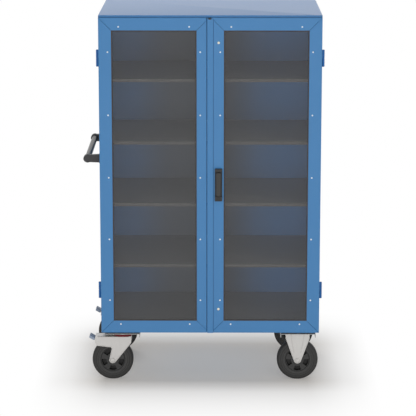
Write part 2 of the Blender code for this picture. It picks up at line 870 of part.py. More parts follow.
def axle_shape(axle_x, middle):
    """The axle bolt of one castor with its two round ends, across the fork's legs."""
    leg_outside = wheel_width / 2 + fork_gap + 2 * touch_gap + fork_sheet
    nut_outside = leg_outside + axle_diameter / 2
    profile = [
        (0, -nut_outside),
        (axle_nut / 2, -nut_outside),
        (axle_nut / 2, -leg_outside),
        (axle_diameter / 2, -leg_outside),
        (axle_diameter / 2, leg_outside),
        (axle_nut / 2, leg_outside),
        (axle_nut / 2, nut_outside),
        (0, nut_outside),
    ]
    return turned(profile, "Y", (axle_x, middle, wheel_radius), small_sides)


def wheel(prefix, axle_x, middle, carrier):
    """Tyre and rim of one castor. The wheel spins on its own frame, on the carrier that holds the axle."""
    centre = (axle_x, middle, wheel_radius)
    spin = joint_frame(prefix + "_wheel_axis", centre, carrier)
    rim_radius = rim_diameter / 2
    half = wheel_width / 2
    shoulder = half / 5
    crown = wheel_radius - rim_radius
    tyre_profile = [
        (rim_radius, shoulder - half),
        (rim_radius + shoulder, -half),
        (wheel_radius - crown / 3, -half),
        (wheel_radius, -half / 2),
        (wheel_radius, half / 2),
        (wheel_radius - crown / 3, half),
        (rim_radius + shoulder, half),
        (rim_radius, half - shoulder),
    ]
    add_piece(prefix + "_tyre", turned(tyre_profile, "Y", centre, wheel_sides), rubber, spin)
    seat = rim_radius - touch_gap
    bore = axle_diameter / 2 + touch_gap
    hub_radius = axle_diameter * hub_wall_share
    web_outer = rim_radius * web_reach_share
    rim_profile = [
        (bore, -hub_length / 2),
        (hub_radius, -hub_length / 2),
        (hub_radius, -rim_web / 2),
        (web_outer, -rim_web / 2),
        (seat, shoulder - half),
        (seat, half - shoulder),
        (web_outer, rim_web / 2),
        (hub_radius, rim_web / 2),
        (hub_radius, hub_length / 2),
        (bore, hub_length / 2),
    ]
    add_piece(prefix + "_rim", turned(rim_profile, "Y", centre, wheel_sides), black_plastic, spin)


def fork_legs(name, outline, axle_x, middle, crown_underside, carrier):
    """Two legs and what joins them above, cut from one extrusion."""
    inside = wheel_width / 2 + fork_gap + touch_gap
    outside = inside + fork_sheet
    fork = add_piece(name, extruded(outline, "Y", middle - outside, middle + outside), zinc, carrier)
    space = box(
        (axle_x - wheel_diameter, middle - inside, 0),
        (axle_x + wheel_diameter, middle + inside, crown_underside),
    )
    cut(fork, name + "_wheel_space", space)
    return fork


def swivel_castor(prefix, middle):
    """Braked swivel castor, trailing to the left: plate, fork with kingpin, red seal, pedal and wheel."""
    pivot = (swivel_x, middle, castor_height)
    axle_x = swivel_x - castor_trail
    crown_top = castor_height - fork_crown_drop
    seal_low = crown_top + touch_gap
    seal_high = seal_low + seal_height
    plate_high = castor_height - touch_gap
    plate_low = plate_high - top_plate_sheet
    plate = box(
        (swivel_x - top_plate_length / 2, middle - top_plate_width / 2, plate_low),
        (swivel_x + top_plate_length / 2, middle + top_plate_width / 2, plate_high),
    )
    top_plate = add_piece(prefix + "_top_plate", plate, zinc, cabinet)
    centre = (swivel_x, middle, 0)
    race_top = plate_low + top_plate_sheet / 2
    race = rod_shape(race_diameter / 2, "Z", centre, seal_high + touch_gap, race_top)
    union(top_plate, prefix + "_ball_race", race)
    kingpin_way = rod_shape(
        kingpin_diameter / 2 + touch_gap,
        "Z",
        centre,
        crown_top,
        castor_height + cut_overrun,
    )
    cut(top_plate, prefix + "_kingpin_way", kingpin_way)

    swivel = joint_frame(prefix + "_swivel_axis", pivot, cabinet)
    outline = [
        (axle_x - fork_front_reach, crown_top),
        (axle_x - fork_front_reach - fork_sheet, wheel_radius * (1 + hood_height_share)),
        (axle_x - fork_front_reach + fork_sheet, wheel_radius * (1 + hood_low_share)),
        (axle_x - fork_end_radius * corner_out_share, wheel_radius * (1 + corner_up_share)),
        (axle_x - fork_end_radius * leg_edge_out_share, wheel_radius * (1 + leg_edge_up_share)),
    ]
    outline += arc((axle_x, wheel_radius), fork_end_radius, 195, 320, 8)
    outline += [
        (axle_x + fork_rear_reach, wheel_radius * (1 + hood_height_share)),
        (axle_x + fork_rear_reach, crown_top),
    ]
    crown_underside = crown_top - fork_sheet
    fork = fork_legs(prefix + "_fork", outline, axle_x, middle, crown_underside, swivel)
    kingpin_top = castor_height - running_gap
    kingpin = rod_shape(kingpin_diameter / 2, "Z", centre, crown_top - fork_sheet / 2, kingpin_top)
    union(fork, prefix + "_kingpin", kingpin)
    leg_reach = wheel_width / 2 + fork_gap + touch_gap + fork_sheet + cut_overrun
    axle_holes = rod_shape(
        axle_diameter / 2 + touch_gap,
        "Y",
        (axle_x, middle, wheel_radius),
        -leg_reach,
        leg_reach,
        small_sides,
    )
    cut(fork, prefix + "_axle_holes", axle_holes)
    add_piece(prefix + "_axle", axle_shape(axle_x, middle), zinc, swivel)
    seal = tube_shape(seal_diameter / 2, seal_bore / 2, "Z", centre, seal_low, seal_high, wheel_sides)
    add_piece(prefix + "_seal_ring", seal, red_seal, swivel)

    hinge = (axle_x - pedal_pivot_out, middle, wheel_radius + pedal_pivot_up)
    pedal_joint = joint_frame(prefix + "_pedal_axis", hinge, swivel)
    hub = pedal_hub / 2
    tilt = math.radians(pedal_tilt_degrees)
    along = Vector((-math.cos(tilt), math.sin(tilt)))
    up = Vector((math.sin(tilt), math.cos(tilt)))
    pivot_point = Vector((hinge[0], hinge[2]))
    outer = Vector((axle_x - pedal_pad_reach, hinge[2] + pedal_pad_length * pad_rise_share))
    inner = outer - along * pedal_pad_length
    pad = pedal_thickness
    pad_corners = (inner + up * pad, outer + up * pad, outer - up * pad, inner - up * pad)
    pedal_outline = [tuple(corner) for corner in pad_corners]
    pedal_outline += [
        (hinge[0] - hub * 2, hinge[2] - hub),
        (hinge[0] - hub * 2, hinge[2] - hub * 2),
        (hinge[0] - hub / 2, hinge[2] - hub * 2),
    ]
    pedal_outline += arc(tuple(pivot_point), hub, 270, 450, 10)
    pedal_half = wheel_width / 2 + fork_gap
    pedal_shape = extruded(pedal_outline, "Y", middle - pedal_half, middle + pedal_half)
    add_piece(prefix + "_brake_pedal", pedal_shape, pedal_paint, pedal_joint)
    wheel(prefix, axle_x, middle, swivel)


def fixed_castor(prefix, middle):
    """Fixed castor: a pressed fork with its riveted axle, whose top plate bolts under the channel."""
    plate_high = castor_height - touch_gap
    plate_low = plate_high - top_plate_sheet
    outline = [
        (fixed_x - fixed_fork_half, plate_high),
        (fixed_x - fixed_fork_half, plate_low - fork_crown_drop),
    ]
    outline += arc((fixed_x, wheel_radius), fork_end_radius, 200, 340, 8)
    outline += [
        (fixed_x + fixed_fork_half, plate_low - fork_crown_drop),
        (fixed_x + fixed_fork_half, plate_high),
    ]
    fork = fork_legs(prefix + "_fork", outline, fixed_x, middle, plate_low, cabinet)
    plate = box(
        (fixed_x - top_plate_length / 2, middle - top_plate_width / 2, plate_low),
        (fixed_x + top_plate_length / 2, middle + top_plate_width / 2, plate_high),
    )
    union(fork, prefix + "_top_plate", plate)
    union(fork, prefix + "_riveted_axle", axle_shape(fixed_x, middle))
    wheel(prefix, fixed_x, middle, cabinet)


for end_word, middle in (("front", -castor_track_half), ("rear", castor_track_half)):
    swivel_castor(end_word + "_left", middle)
    fixed_castor(end_word + "_right", middle)
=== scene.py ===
"""Cupboard trolley: the looks of every surface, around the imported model.

Metres, +Z up, doors facing -Y, push bar on the left (-X). Pieces are written in the order of assembly.
"""
import math

import bpy
import numpy as np
from mathutils import Euler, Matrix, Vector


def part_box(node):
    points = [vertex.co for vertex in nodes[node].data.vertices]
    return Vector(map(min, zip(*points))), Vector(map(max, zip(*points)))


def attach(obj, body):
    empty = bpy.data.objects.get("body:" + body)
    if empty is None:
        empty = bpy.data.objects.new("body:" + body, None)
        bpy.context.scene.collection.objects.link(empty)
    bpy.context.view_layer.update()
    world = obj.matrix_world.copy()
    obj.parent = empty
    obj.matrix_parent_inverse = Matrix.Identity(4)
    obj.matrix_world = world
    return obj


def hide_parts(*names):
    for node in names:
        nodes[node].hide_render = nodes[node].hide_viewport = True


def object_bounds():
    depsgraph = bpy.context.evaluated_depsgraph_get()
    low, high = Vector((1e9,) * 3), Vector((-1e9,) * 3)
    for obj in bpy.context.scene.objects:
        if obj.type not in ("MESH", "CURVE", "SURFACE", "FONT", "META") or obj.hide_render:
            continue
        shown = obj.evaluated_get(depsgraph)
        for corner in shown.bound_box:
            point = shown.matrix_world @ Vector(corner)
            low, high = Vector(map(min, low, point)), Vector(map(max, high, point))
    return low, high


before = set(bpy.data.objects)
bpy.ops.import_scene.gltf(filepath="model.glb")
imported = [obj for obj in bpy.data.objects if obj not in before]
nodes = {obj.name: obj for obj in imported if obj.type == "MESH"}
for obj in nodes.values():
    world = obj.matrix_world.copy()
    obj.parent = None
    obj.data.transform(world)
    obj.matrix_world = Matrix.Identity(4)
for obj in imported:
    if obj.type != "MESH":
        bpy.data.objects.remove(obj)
cad_low, cad_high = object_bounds()


# Camera
# The viewer stands about nine metres in front of the doors, the eye above the roof, and looks down a little.
# The photograph's own lens is shifted; this one is tilted instead, so that other views stay framed.
eye_place = (0.0704, -9.5506, 2.8228)
eye_pitch_degrees = 11.960
eye_turn_degrees = 0.294


def in_scene(name, data):
    """Puts an object with this data into the scene."""
    thing = bpy.data.objects.new(name, data)
    bpy.context.scene.collection.objects.link(thing)
    return thing


camera_data = bpy.data.cameras.new("camera")
camera_data.lens = 171.1
camera_data.sensor_width = 36.0
camera = in_scene("camera", camera_data)
camera.location = eye_place
camera.rotation_euler = Euler((math.radians(90 - eye_pitch_degrees), 0, math.radians(eye_turn_degrees)))
bpy.context.scene.camera = camera
bpy.context.scene.view_settings.view_transform = "Standard"


# Floor and light
# A pale studio floor that keeps the trolley's shadow and turns white away from it, in white surroundings. The
# white is painted in by two ramps, across and along, whose dips under the trolley draw the shadow's outline:
# partly painted shadow.
# Three wide lamps: a high and a low one in front of the doors, and one behind the back wall.
floor_half = 40.0
floor_middle = (0.015, 0, 0)
# Share of painted white across and along the floor; the low shares under the trolley set the outline of the
# shadow.
floor_clear_sideways = [
    (0.49, 0.0), (0.565, 0.25), (0.615, 0.42), (0.665, 0.61), (0.735, 0.77), (0.785, 0.91), (0.835, 1.0),
]
floor_clear_lengthways = [
    (-1.15, 1.0), (-1.00, 0.97), (-0.85, 0.91), (-0.756, 0.855), (-0.665, 0.79), (-0.570, 0.70),
    (-0.475, 0.58), (-0.378, 0.33), (-0.290, 0.15), (-0.210, 0.18), (0.0, 0.19), (0.140, 0.15), (0.250, 0.12),
    (0.360, 0.09), (0.477, 0.26), (0.595, 0.50), (0.715, 0.75), (0.840, 0.90), (1.00, 1.0),
]
# Warmed a little to cancel the blue light the trolley bounces onto the floor: painted light.
floor_colour = (0.935, 0.885, 0.825)
world_strengths = (0.34, 1.0)
lamps = [
    ("high_soft_lamp", 44.0, 3.5, (1.8, -5.2, 2.4)),
    ("front_soft_lamp", 130.0, 2.0, (-0.3, -6.0, 1.1)),
    ("rear_soft_lamp", 110.0, 3.5, (-1.4, 5.6, 3.2)),
]


def shader_tree(owner):
    """The emptied node tree of a material or a world."""
    owner.use_nodes = True
    owner.node_tree.nodes.clear()
    return owner.node_tree


def shader_node(tree, kind, sockets=(), **settings):
    """A node's outputs, after each named socket got a link from another node or a plain value."""
    node = tree.nodes.new("ShaderNode" + kind)
    for name, setting in settings.items():
        setattr(node, name, setting)
    for socket, value in dict(sockets).items():
        if isinstance(value, bpy.types.NodeSocket):
            tree.links.new(value, node.inputs[socket])
        else:
            node.inputs[socket].default_value = value
    return node.outputs


def worked_out(tree, operation, *values):
    """One sum on node outputs or numbers."""
    return shader_node(tree, "Math", enumerate(values), operation=operation)["Value"]


def object_place(tree):
    """The point's own place on the object."""
    return shader_node(tree, "TexCoord")["Object"]


def distance_from(tree, centre, axes):
    """How far a point is from a centre, measured along the named axes only."""
    kept_axes = [float(axis in axes) for axis in "XYZ"]
    offset = shader_node(tree, "VectorMath", {0: object_place(tree), 1: list(centre)}, operation="SUBTRACT")
    kept = shader_node(tree, "VectorMath", {0: offset["Vector"], 1: kept_axes}, operation="MULTIPLY")
    return shader_node(tree, "VectorMath", {0: kept["Vector"]}, operation="LENGTH")["Value"]


def ramp_tone(tree, distance, stops):
    """A grey that follows a distance through the given stops, each a distance and a tone."""
    near, far = stops[0][0], stops[-1][0]
    share = shader_node(tree, "MapRange", {"Value": distance, "From Min": near, "From Max": far})["Result"]
    grey = shader_node(tree, "ValToRGB", {"Fac": share})["Color"]
    ramp = grey.node.color_ramp
    while len(ramp.elements) < len(stops):
        ramp.elements.new(0.5)
    for element, (place, tone) in zip(ramp.elements, stops):
        element.position = (place - near) / (far - near)
        element.color = (tone, tone, tone, 1)
    return grey


def seen_or_mirrored(tree):
    """One for a ray that the camera, a mirror or a pane sends, and zero for a ray that gathers light."""
    rays = shader_node(tree, "LightPath")
    mirrored = worked_out(tree, "MAXIMUM", rays["Is Glossy Ray"], rays["Is Transmission Ray"])
    return worked_out(tree, "MAXIMUM", mirrored, rays["Is Camera Ray"])


floor_material = bpy.data.materials.new("studio_floor")
floor_tree = shader_tree(floor_material)
floor_parts = shader_node(floor_tree, "SeparateXYZ", {"Vector": object_place(floor_tree)})
floor_tones = [
    worked_out(floor_tree, "SUBTRACT", 1.0, ramp_tone(floor_tree, floor_distance, floor_stops))
    for floor_distance, floor_stops in (
        (distance_from(floor_tree, floor_middle, "X"), floor_clear_sideways),
        (floor_parts["Y"], floor_clear_lengthways),
    )
]
floor_clear = worked_out(floor_tree, "SUBTRACT", 1.0, worked_out(floor_tree, "MULTIPLY", *floor_tones))
floor_mix = {
    "Fac": worked_out(floor_tree, "MULTIPLY", floor_clear, seen_or_mirrored(floor_tree)),
    1: shader_node(floor_tree, "BsdfDiffuse", {"Color": (*floor_colour, 1)})["BSDF"],
    2: shader_node(floor_tree, "Emission")["Emission"],
}
floor_surface = shader_node(floor_tree, "MixShader", floor_mix)["Shader"]
shader_node(floor_tree, "OutputMaterial", {"Surface": floor_surface})
floor_mesh = bpy.data.meshes.new("studio_floor")
floor_corners = [(a * floor_half, b * floor_half, 0) for a, b in ((-1, -1), (1, -1), (1, 1), (-1, 1))]
floor_mesh.from_pydata(floor_corners, [], [(0, 1, 2, 3)])
floor_mesh.materials.append(floor_material)
floor_object = in_scene("studio_floor", floor_mesh)

world = bpy.data.worlds.new("studio")
bpy.context.scene.world = world
world_tree = shader_tree(world)
world_mix = {"Fac": seen_or_mirrored(world_tree)}
for world_place, world_strength in enumerate(world_strengths, 1):
    white_light = {"Color": (1, 1, 1, 1), "Strength": world_strength}
    world_mix[world_place] = shader_node(world_tree, "Background", white_light)["Background"]
world_surface = shader_node(world_tree, "MixShader", world_mix)["Shader"]
shader_node(world_tree, "OutputWorld", {"Surface": world_surface})

for lamp_name, lamp_power, lamp_size, lamp_place in lamps:
    lamp_data = bpy.data.lights.new(lamp_name, "AREA")
    lamp_data.energy = lamp_power
    lamp_data.size = lamp_size
    lamp = in_scene(lamp_name, lamp_data)
    lamp.location = lamp_place
    lamp.visible_glossy = False
    lamp_aim = (cad_low + cad_high) / 2 - lamp.location
    lamp.rotation_euler = lamp_aim.to_track_quat("-Z", "Y").to_euler()


# Roof
# One steel sheet folded down all round into a shallow tray, powder coated satin blue; its lip is darkened
# with painted shade.
# A header rail is spot welded under its front edge, behind the tops of the doors.
roof_sheet = 0.0020
roof_fold = 0.0020
roof_corner = 0.0060
roof_colours = ((0.036, 0.235, 0.600), (0.033, 0.223, 0.575))
# The lip's darker blue is painted shade under the roof's fold.
roof_lip_painted_shade = (0.030, 0.150, 0.360)
roof_lip_shade_begins, roof_lip_shade_ends = 0.0005, 0.0015
blue_colours = ((0.062, 0.226, 0.480), (0.056, 0.210, 0.450))
header_width = 0.012


def box(node):
    """A node's lowest and highest corner, as arrays."""
    return np.array(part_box(node))


def ring_shell(rings, closed=False):
    """A solid skin from rings of points: quads between neighbouring rings and one flat face on each end.

    A closed skin has no ends: its last ring joins the first, as round a gasket. The faces are turned outwards
    by the sign of the volume, the sum over triangles of a . (b x c) / 6.
    """
    rings = np.asarray(rings, dtype=float)
    count, size, _ = rings.shape
    points = rings.reshape(-1, 3)
    ring, step = np.meshgrid(np.arange(count - 1 + closed), np.arange(size), indexing="ij")
    here, after, following = ring * size, (ring + 1) % count * size, (step + 1) % size
    quads = np.stack([here + step, here + following, after + following, after + step], axis=-1).reshape(-1, 4)
    caps = [] if closed else [np.arange(size)[::-1], (count - 1) * size + np.arange(size)]
    fans = [np.stack([np.full(size - 2, cap[0]), cap[1:-1], cap[2:]], axis=-1) for cap in caps]
    triangles = np.concatenate([quads[:, [0, 1, 2]], quads[:, [0, 2, 3]], *fans])
    a, b, c = (points[triangles] - points.mean(axis=0)).transpose(1, 0, 2)
    faces = [*quads.tolist(), *(cap.tolist() for cap in caps)]
    if np.einsum("ij,ij->i", a, np.cross(b, c)).sum() < 0:
        faces = [face[::-1] for face in faces]
    return points, faces


def make_piece(name, shells, material, smooth_degrees=32):
    """One named object from a list of skins, smooth where its faces meet at less than the given angle."""
    points, faces, start = [], [], 0
    for shell_points, shell_faces in shells:
        points.append(shell_points)
        faces += [[index + start for index in face] for face in shell_faces]
        start += len(shell_points)
    mesh = bpy.data.meshes.new(name)
    mesh.from_pydata(np.concatenate(points).tolist(), [], faces)
    mesh.shade_smooth()
    mesh.set_sharp_from_angle(angle=math.radians(smooth_degrees))
    mesh.materials.append(material)
    return in_scene(name, mesh)


def placed(a, b, along, axis, centre=(0, 0, 0)):
    """Lays two coordinates across an axis and one along it into X, Y, Z, about a centre."""
    order = {"X": (along, a, b), "Y": (a, along, b), "Z": (a, b, along)}[axis]
    return np.stack(np.broadcast_arrays(*order), axis=-1) + np.asarray(centre, dtype=float)


def rounded_ring(half_a, half_b, radius, along, axis, centre, steps=4):
    """A rectangle with round corners across an axis: an arc centre plus radius times (cos, sin) at each."""
    index = np.arange(4 * (steps + 1))
    corner = index // (steps + 1)
    angle = (corner + (index % (steps + 1)) / steps) * math.pi / 2
    a = np.array([1, -1, -1, 1])[corner] * (half_a - radius) + radius * np.cos(angle)
    b = np.array([1, 1, -1, -1])[corner] * (half_b - radius) + radius * np.sin(angle)
    return placed(a, b, along, axis, centre)


def stacked_rings(half_a, half_b, corner, profile, axis, centre, steps=4):
    """Rings of a rounded rectangle: a profile row's values draw it in and set it along the axis."""
    return [
        rounded_ring(
            half_a - inset, half_b - inset, max(corner - inset, corner / 6), along, axis, centre, steps
        )
        for inset, along in profile
    ]


def quarter_turn(radius, inset, along, start_degrees, end_degrees, steps=4):
    """Profile rows round an edge: a centre plus radius times (cos, sin) of the angle."""
    angles = np.radians(np.linspace(start_degrees, end_degrees, steps + 1))
    return [(inset + radius * math.cos(t), along + radius * math.sin(t)) for t in angles]


def folded_tray(low, high, axis, wall_side, sheet, fold, corner):
    """A sheet tray with rounded folds: its wall faces the given side of the axis and its mouth the other."""
    face, half = (low + high) / 2, (high - low) / 2
    direction = "XYZ".index(axis)
    across = [i for i in range(3) if i != direction]
    depth = 2 * half[direction]
    profile = quarter_turn(fold, fold, fold, 270, 180)
    profile += [(0, depth), (sheet, depth)]
    profile += quarter_turn(fold, sheet + fold, sheet + fold, 180, 270)
    face[direction] += wall_side * half[direction]
    rows = [(inset, -wall_side * along) for inset, along in profile]
    return ring_shell(stacked_rings(half[across[0]], half[across[1]], corner, rows, axis, face))


def path_normals(path):
    """Unit vectors across a flat path: its direction by differences, turned a quarter."""
    tangent = np.gradient(path, axis=0)
    tangent /= np.linalg.norm(tangent, axis=1)[:, None]
    return np.stack([-tangent[:, 1], tangent[:, 0]], axis=-1)


def folded_strip(corners, sheet, radius, steps=4):
    """The closed section of a folded sheet: a centre line, offset half the sheet to each side.

    A fold is the curve (1 - s)^2 a + 2 s (1 - s) b + s^2 c from one leg, past the corner b, to the next leg.
    """
    corners = [np.array(corner, dtype=float) for corner in corners]
    line = [corners[0]]
    for before, here, after in zip(corners, corners[1:], corners[2:]):
        start = here + (before - here) / np.linalg.norm(before - here) * radius
        end = here + (after - here) / np.linalg.norm(after - here) * radius
        for share in np.linspace(0, 1, steps + 1):
            line.append((1 - share) ** 2 * start + 2 * share * (1 - share) * here + share**2 * end)
    line = np.array([*line, corners[-1]])
    offset = path_normals(line) * sheet / 2
    return np.concatenate([line + offset, (line - offset)[::-1]])


def swept_section(section, path_axis, start, end):
    """One closed section of two coordinates carried straight along an axis from start to end."""
    a, b = np.asarray(section, dtype=float).T
    return ring_shell([placed(a, b, along, path_axis) for along in (start, end)])


def surface(name, **values):
    """A Principled material, its tree and its shader's sockets, which take the keyword values."""
    material = bpy.data.materials.new(name)
    tree = shader_tree(material)
    values = {socket.replace("_", " "): value for socket, value in values.items()}
    shader = shader_node(tree, "BsdfPrincipled", values)["BSDF"]
    shader_node(tree, "OutputMaterial", {"Surface": shader})
    return material, tree, shader.node.inputs


def noise(tree, place, scale, detail):
    """Noise at a place, from 0 to 1."""
    return shader_node(tree, "TexNoise", {"Vector": place, "Scale": scale, "Detail": detail})["Fac"]


def two_colours(tree, factor, first, second):
    """Blends two colours, or the outputs of two nodes, by a factor."""
    ends = [(*end, 1) if isinstance(end, tuple) else end for end in (first, second)]
    blend = {"Factor": factor, "A": ends[0], "B": ends[1]}
    return shader_node(tree, "Mix", blend, data_type="RGBA")["Result"]


def ranged(tree, value, low, high):
    """Turns 0 to 1 into a range of numbers."""
    return shader_node(tree, "MapRange", {"Value": value, "To Min": low, "To Max": high})["Result"]


def relief(tree, height, distance):
    """A bump of the given depth."""
    return shader_node(tree, "Bump", {"Height": height, "Distance": distance, "Strength": 1.0})["Normal"]


def mottled(name, colours, clouds, gloss, grain, stretch=None, **values):
    """A surface with clouds of tone between two colours, a varying roughness and a grain in relief.

    Each is noise of a scale and a detail: clouds (scale, detail), gloss (scale, detail, least, most) and
    grain (scale, detail, depth). A stretch scales the place along each axis before the noise.
    """
    material, tree, sockets = surface(name, **values)
    place = object_place(tree)
    if stretch:
        place = shader_node(tree, "Mapping", {"Vector": place, "Scale": stretch})["Vector"]
    tree.links.new(two_colours(tree, noise(tree, place, *clouds), *colours), sockets["Base Color"])
    if gloss:
        tree.links.new(ranged(tree, noise(tree, place, *gloss[:2]), *gloss[2:]), sockets["Roughness"])
    if grain:
        tree.links.new(relief(tree, noise(tree, place, *grain[:2]), grain[2]), sockets["Normal"])
    return material


def turn_into(material, colour, distance, start, end, curve="LINEAR"):
    """Blends a material's base colour into another one as a distance from a centre goes from start to end."""
    tree = material.node_tree
    base = tree.nodes["Principled BSDF"].inputs["Base Color"]
    span = {"Value": distance_from(tree, *distance), "From Min": start, "From Max": end}
    share = shader_node(tree, "MapRange", span, interpolation_type=curve)["Result"]
    tree.links.new(two_colours(tree, share, base.links[0].from_socket, colour), base)
    return material


def powder_coat(name, colours, roughness=0.40, coat=0.12):
    """Powder coat: orange peel about a millimetre across, faint clouds of tone and a varying satin gloss."""
    gloss, peel = (60.0, 2.0, roughness - 0.02, roughness + 0.03), (700.0, 1.0, 0.00006)
    coats = {"Metallic": 0.0, "Coat_Weight": coat, "Coat_Roughness": 0.25}
    return mottled(name, colours, (3.5, 3.0), gloss, peel, **coats)


blue_coat = powder_coat("blue_powder_coat", blue_colours)
roof_low, roof_high = box("roof_cap")
# From just under the top downwards the roof turns to the lip's darker blue: painted shade.
roof_coat = turn_into(
    powder_coat("roof_powder_coat", roof_colours, 0.34, 0.16),
    roof_lip_painted_shade,
    ((0, 0, 0), "Z"),
    roof_high[2] - roof_lip_shade_begins,
    roof_high[2] - roof_lip_shade_ends,
)
roof_skin = folded_tray(roof_low, roof_high, "Z", 1, roof_sheet, roof_fold, roof_corner)
roof = make_piece("roof_cap_sheet", [roof_skin], roof_coat)
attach(roof, "cabinet")
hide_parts("roof_cap")

back_low, back_high = box("back_panel")
header_low, header_high = box("roof_header_rail")
header_y = box("left_side_panel")[0][1] + roof_sheet / 2
header_bottom, header_top = header_low[2] + roof_sheet / 2, header_high[2] - roof_sheet / 2
header_line = [(header_y + header_width, header_bottom), (header_y, header_bottom)]
header_line += [(header_y, header_top), (header_y + header_width, header_top)]
header_section = folded_strip(header_line, roof_sheet, roof_fold)
header_skin = swept_section(header_section, "X", back_low[0], back_high[0])
header = make_piece("roof_header_rail_fold", [header_skin], blue_coat)
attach(header, "cabinet")
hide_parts("roof_header_rail")


# Side walls and back wall
# Folded steel trays, powder coated like the roof. The side walls open inwards and hold the shelf uprights.
wall_sheet = 0.0015
wall_fold = 0.0025
wall_corner = 0.0030
for wall_name, wall_axis, wall_side in (
    ("left_side_panel", "X", -1),
    ("right_side_panel", "X", 1),
    ("back_panel", "Y", 1),
):
    wall_skin = folded_tray(*box(wall_name), wall_axis, wall_side, wall_sheet, wall_fold, wall_corner)
    wall = make_piece(wall_name + "_sheet", [wall_skin], blue_coat)
    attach(wall, "cabinet")
    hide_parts(wall_name)


# Back lining
# A zinc-coated sheet spot welded over the open side of the back wall, which hides its folds from inside.
# The photograph shows it grey in the middle and blue towards the sides; why it changes is a guess. It is
# grey in the middle and turns blue towards the sides: a painted reflection of the blue side walls.
lining_sheet = 0.0010
lining_gap = 0.0006
lining_lift = 0.0005
lining_corner, lining_edge = 0.002, 0.0003
lining_colours = ((0.185, 0.225, 0.285), (0.17, 0.21, 0.27))
lining_clouds = (6.0, 4.0)
lining_gloss = (*lining_clouds, 0.42, 0.52)
# The blue of the painted reflection of the side walls, and how far from the middle it starts and is full.
lining_painted_reflection = (0.10, 0.34, 0.76)
lining_plain_middle = (-0.05, 0, 0)
lining_plain_half, lining_painted_reflection_half = 0.08, 0.46


def rounded_block(low, high, axis, radius, edge, steps=3):
    """A block with round corners across an axis and a small quarter-round edge at both ends."""
    low, high = np.array(low, dtype=float), np.array(high, dtype=float)
    centre, half = (low + high) / 2, (high - low) / 2
    direction = "XYZ".index(axis)
    a, b = [i for i in range(3) if i != direction]
    reach = half[direction]
    turn = np.radians([90, 60, 30, 0])
    profile = [(edge * (1 - math.cos(t)), -reach + edge * (1 - math.sin(t))) for t in turn]
    profile += [(inset, -along) for inset, along in reversed(profile)]
    return ring_shell(stacked_rings(half[a], half[b], radius, profile, axis, centre, steps))


lining_values = {"Metallic": 0.0, "Specular_IOR_Level": 0.3}
lining_zinc = mottled(
    "zinc_coated_lining", lining_colours, lining_clouds, lining_gloss, None, **lining_values
)
# The blue towards the sides is a painted reflection of the side walls.
lining_from = (lining_plain_middle, "X")
turn_into(lining_zinc, lining_painted_reflection, lining_from, lining_plain_half, lining_painted_reflection_half, "SMOOTHSTEP")
tray_low, tray_high = box("floor_tray")
lining_back = back_low[1] - lining_gap
lining_low = (back_low[0], lining_back - lining_sheet, tray_high[2] + lining_lift)
lining_high = (back_high[0], lining_back, back_high[2])
lining_skin = rounded_block(lining_low, lining_high, "Y", lining_corner, lining_edge)
lining = make_piece("back_lining_sheet", [lining_skin], lining_zinc)
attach(lining, "cabinet")


# Floor tray
# The bottom of the cupboard, a folded tray that stands on the castor channels.
floor_sheet = 0.0020
floor_fold = 0.0025
bottom_skin = folded_tray(tray_low, tray_high, "Z", 1, floor_sheet, floor_fold, wall_corner)
bottom = make_piece("floor_tray_sheet", [bottom_skin], blue_coat)
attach(bottom, "cabinet")
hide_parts("floor_tray")


# Castor channels
# Two steel channels across the underside, flanges down, welded to the floor. The castors bolt under them.
channel_sheet = 0.003
channel_fold = 0.003
channel_colours = ((0.34, 0.34, 0.335), (0.44, 0.44, 0.43))
crystal_scale = 90.0
crystal_gloss = (0.38, 0.52)
zinc_grain = (400.0, 2.0, 0.00003)


def spangled_zinc(name, colours, metallic=0.55):
    """Hot dip zinc: crystals about a centimetre across from cell noise, each with its own tone and gloss."""
    material, tree, sockets = surface(name, Metallic=metallic)
    place = object_place(tree)
    crystals = shader_node(tree, "TexVoronoi", {"Vector": place, "Scale": crystal_scale})["Color"]
    tone = shader_node(tree, "SeparateColor", {"Color": crystals})
    tree.links.new(two_colours(tree, tone["Red"], *colours), sockets["Base Color"])
    tree.links.new(ranged(tree, tone["Green"], *crystal_gloss), sockets["Roughness"])
    tree.links.new(relief(tree, noise(tree, place, *zinc_grain[:2]), zinc_grain[2]), sockets["Normal"])
    return material


channel_zinc = spangled_zinc("galvanised_channel_steel", channel_colours)
for channel_name in ("left_castor_channel", "right_castor_channel"):
    channel_low, channel_high = box(channel_name)
    left_x, right_x = channel_low[0] + channel_sheet / 2, channel_high[0] - channel_sheet / 2
    foot_z, web_z = channel_low[2], channel_high[2] - channel_sheet / 2
    channel_line = [(left_x, foot_z), (left_x, web_z), (right_x, web_z), (right_x, foot_z)]
    channel_section = folded_strip(channel_line, channel_sheet, channel_fold)
    channel_skin = swept_section(channel_section, "Y", channel_low[1], channel_high[1])
    channel = make_piece(channel_name + "_section", [channel_skin], channel_zinc)
    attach(channel, "cabinet")
    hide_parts(channel_name)


# Slotted uprights
# Galvanised channels that stand in the hollow of the side walls, punched all the way up for the shelf clips.
upright_sheet = 0.0020
slot_pitch = 0.025
slot_height = 0.0150
slot_width = 0.0050
zinc_colours = ((0.185, 0.190, 0.195), (0.300, 0.305, 0.310))
uprights = {
    "left_front_upright": 1,
    "left_rear_upright": 1,
    "right_front_upright": -1,
    "right_rear_upright": -1,
}


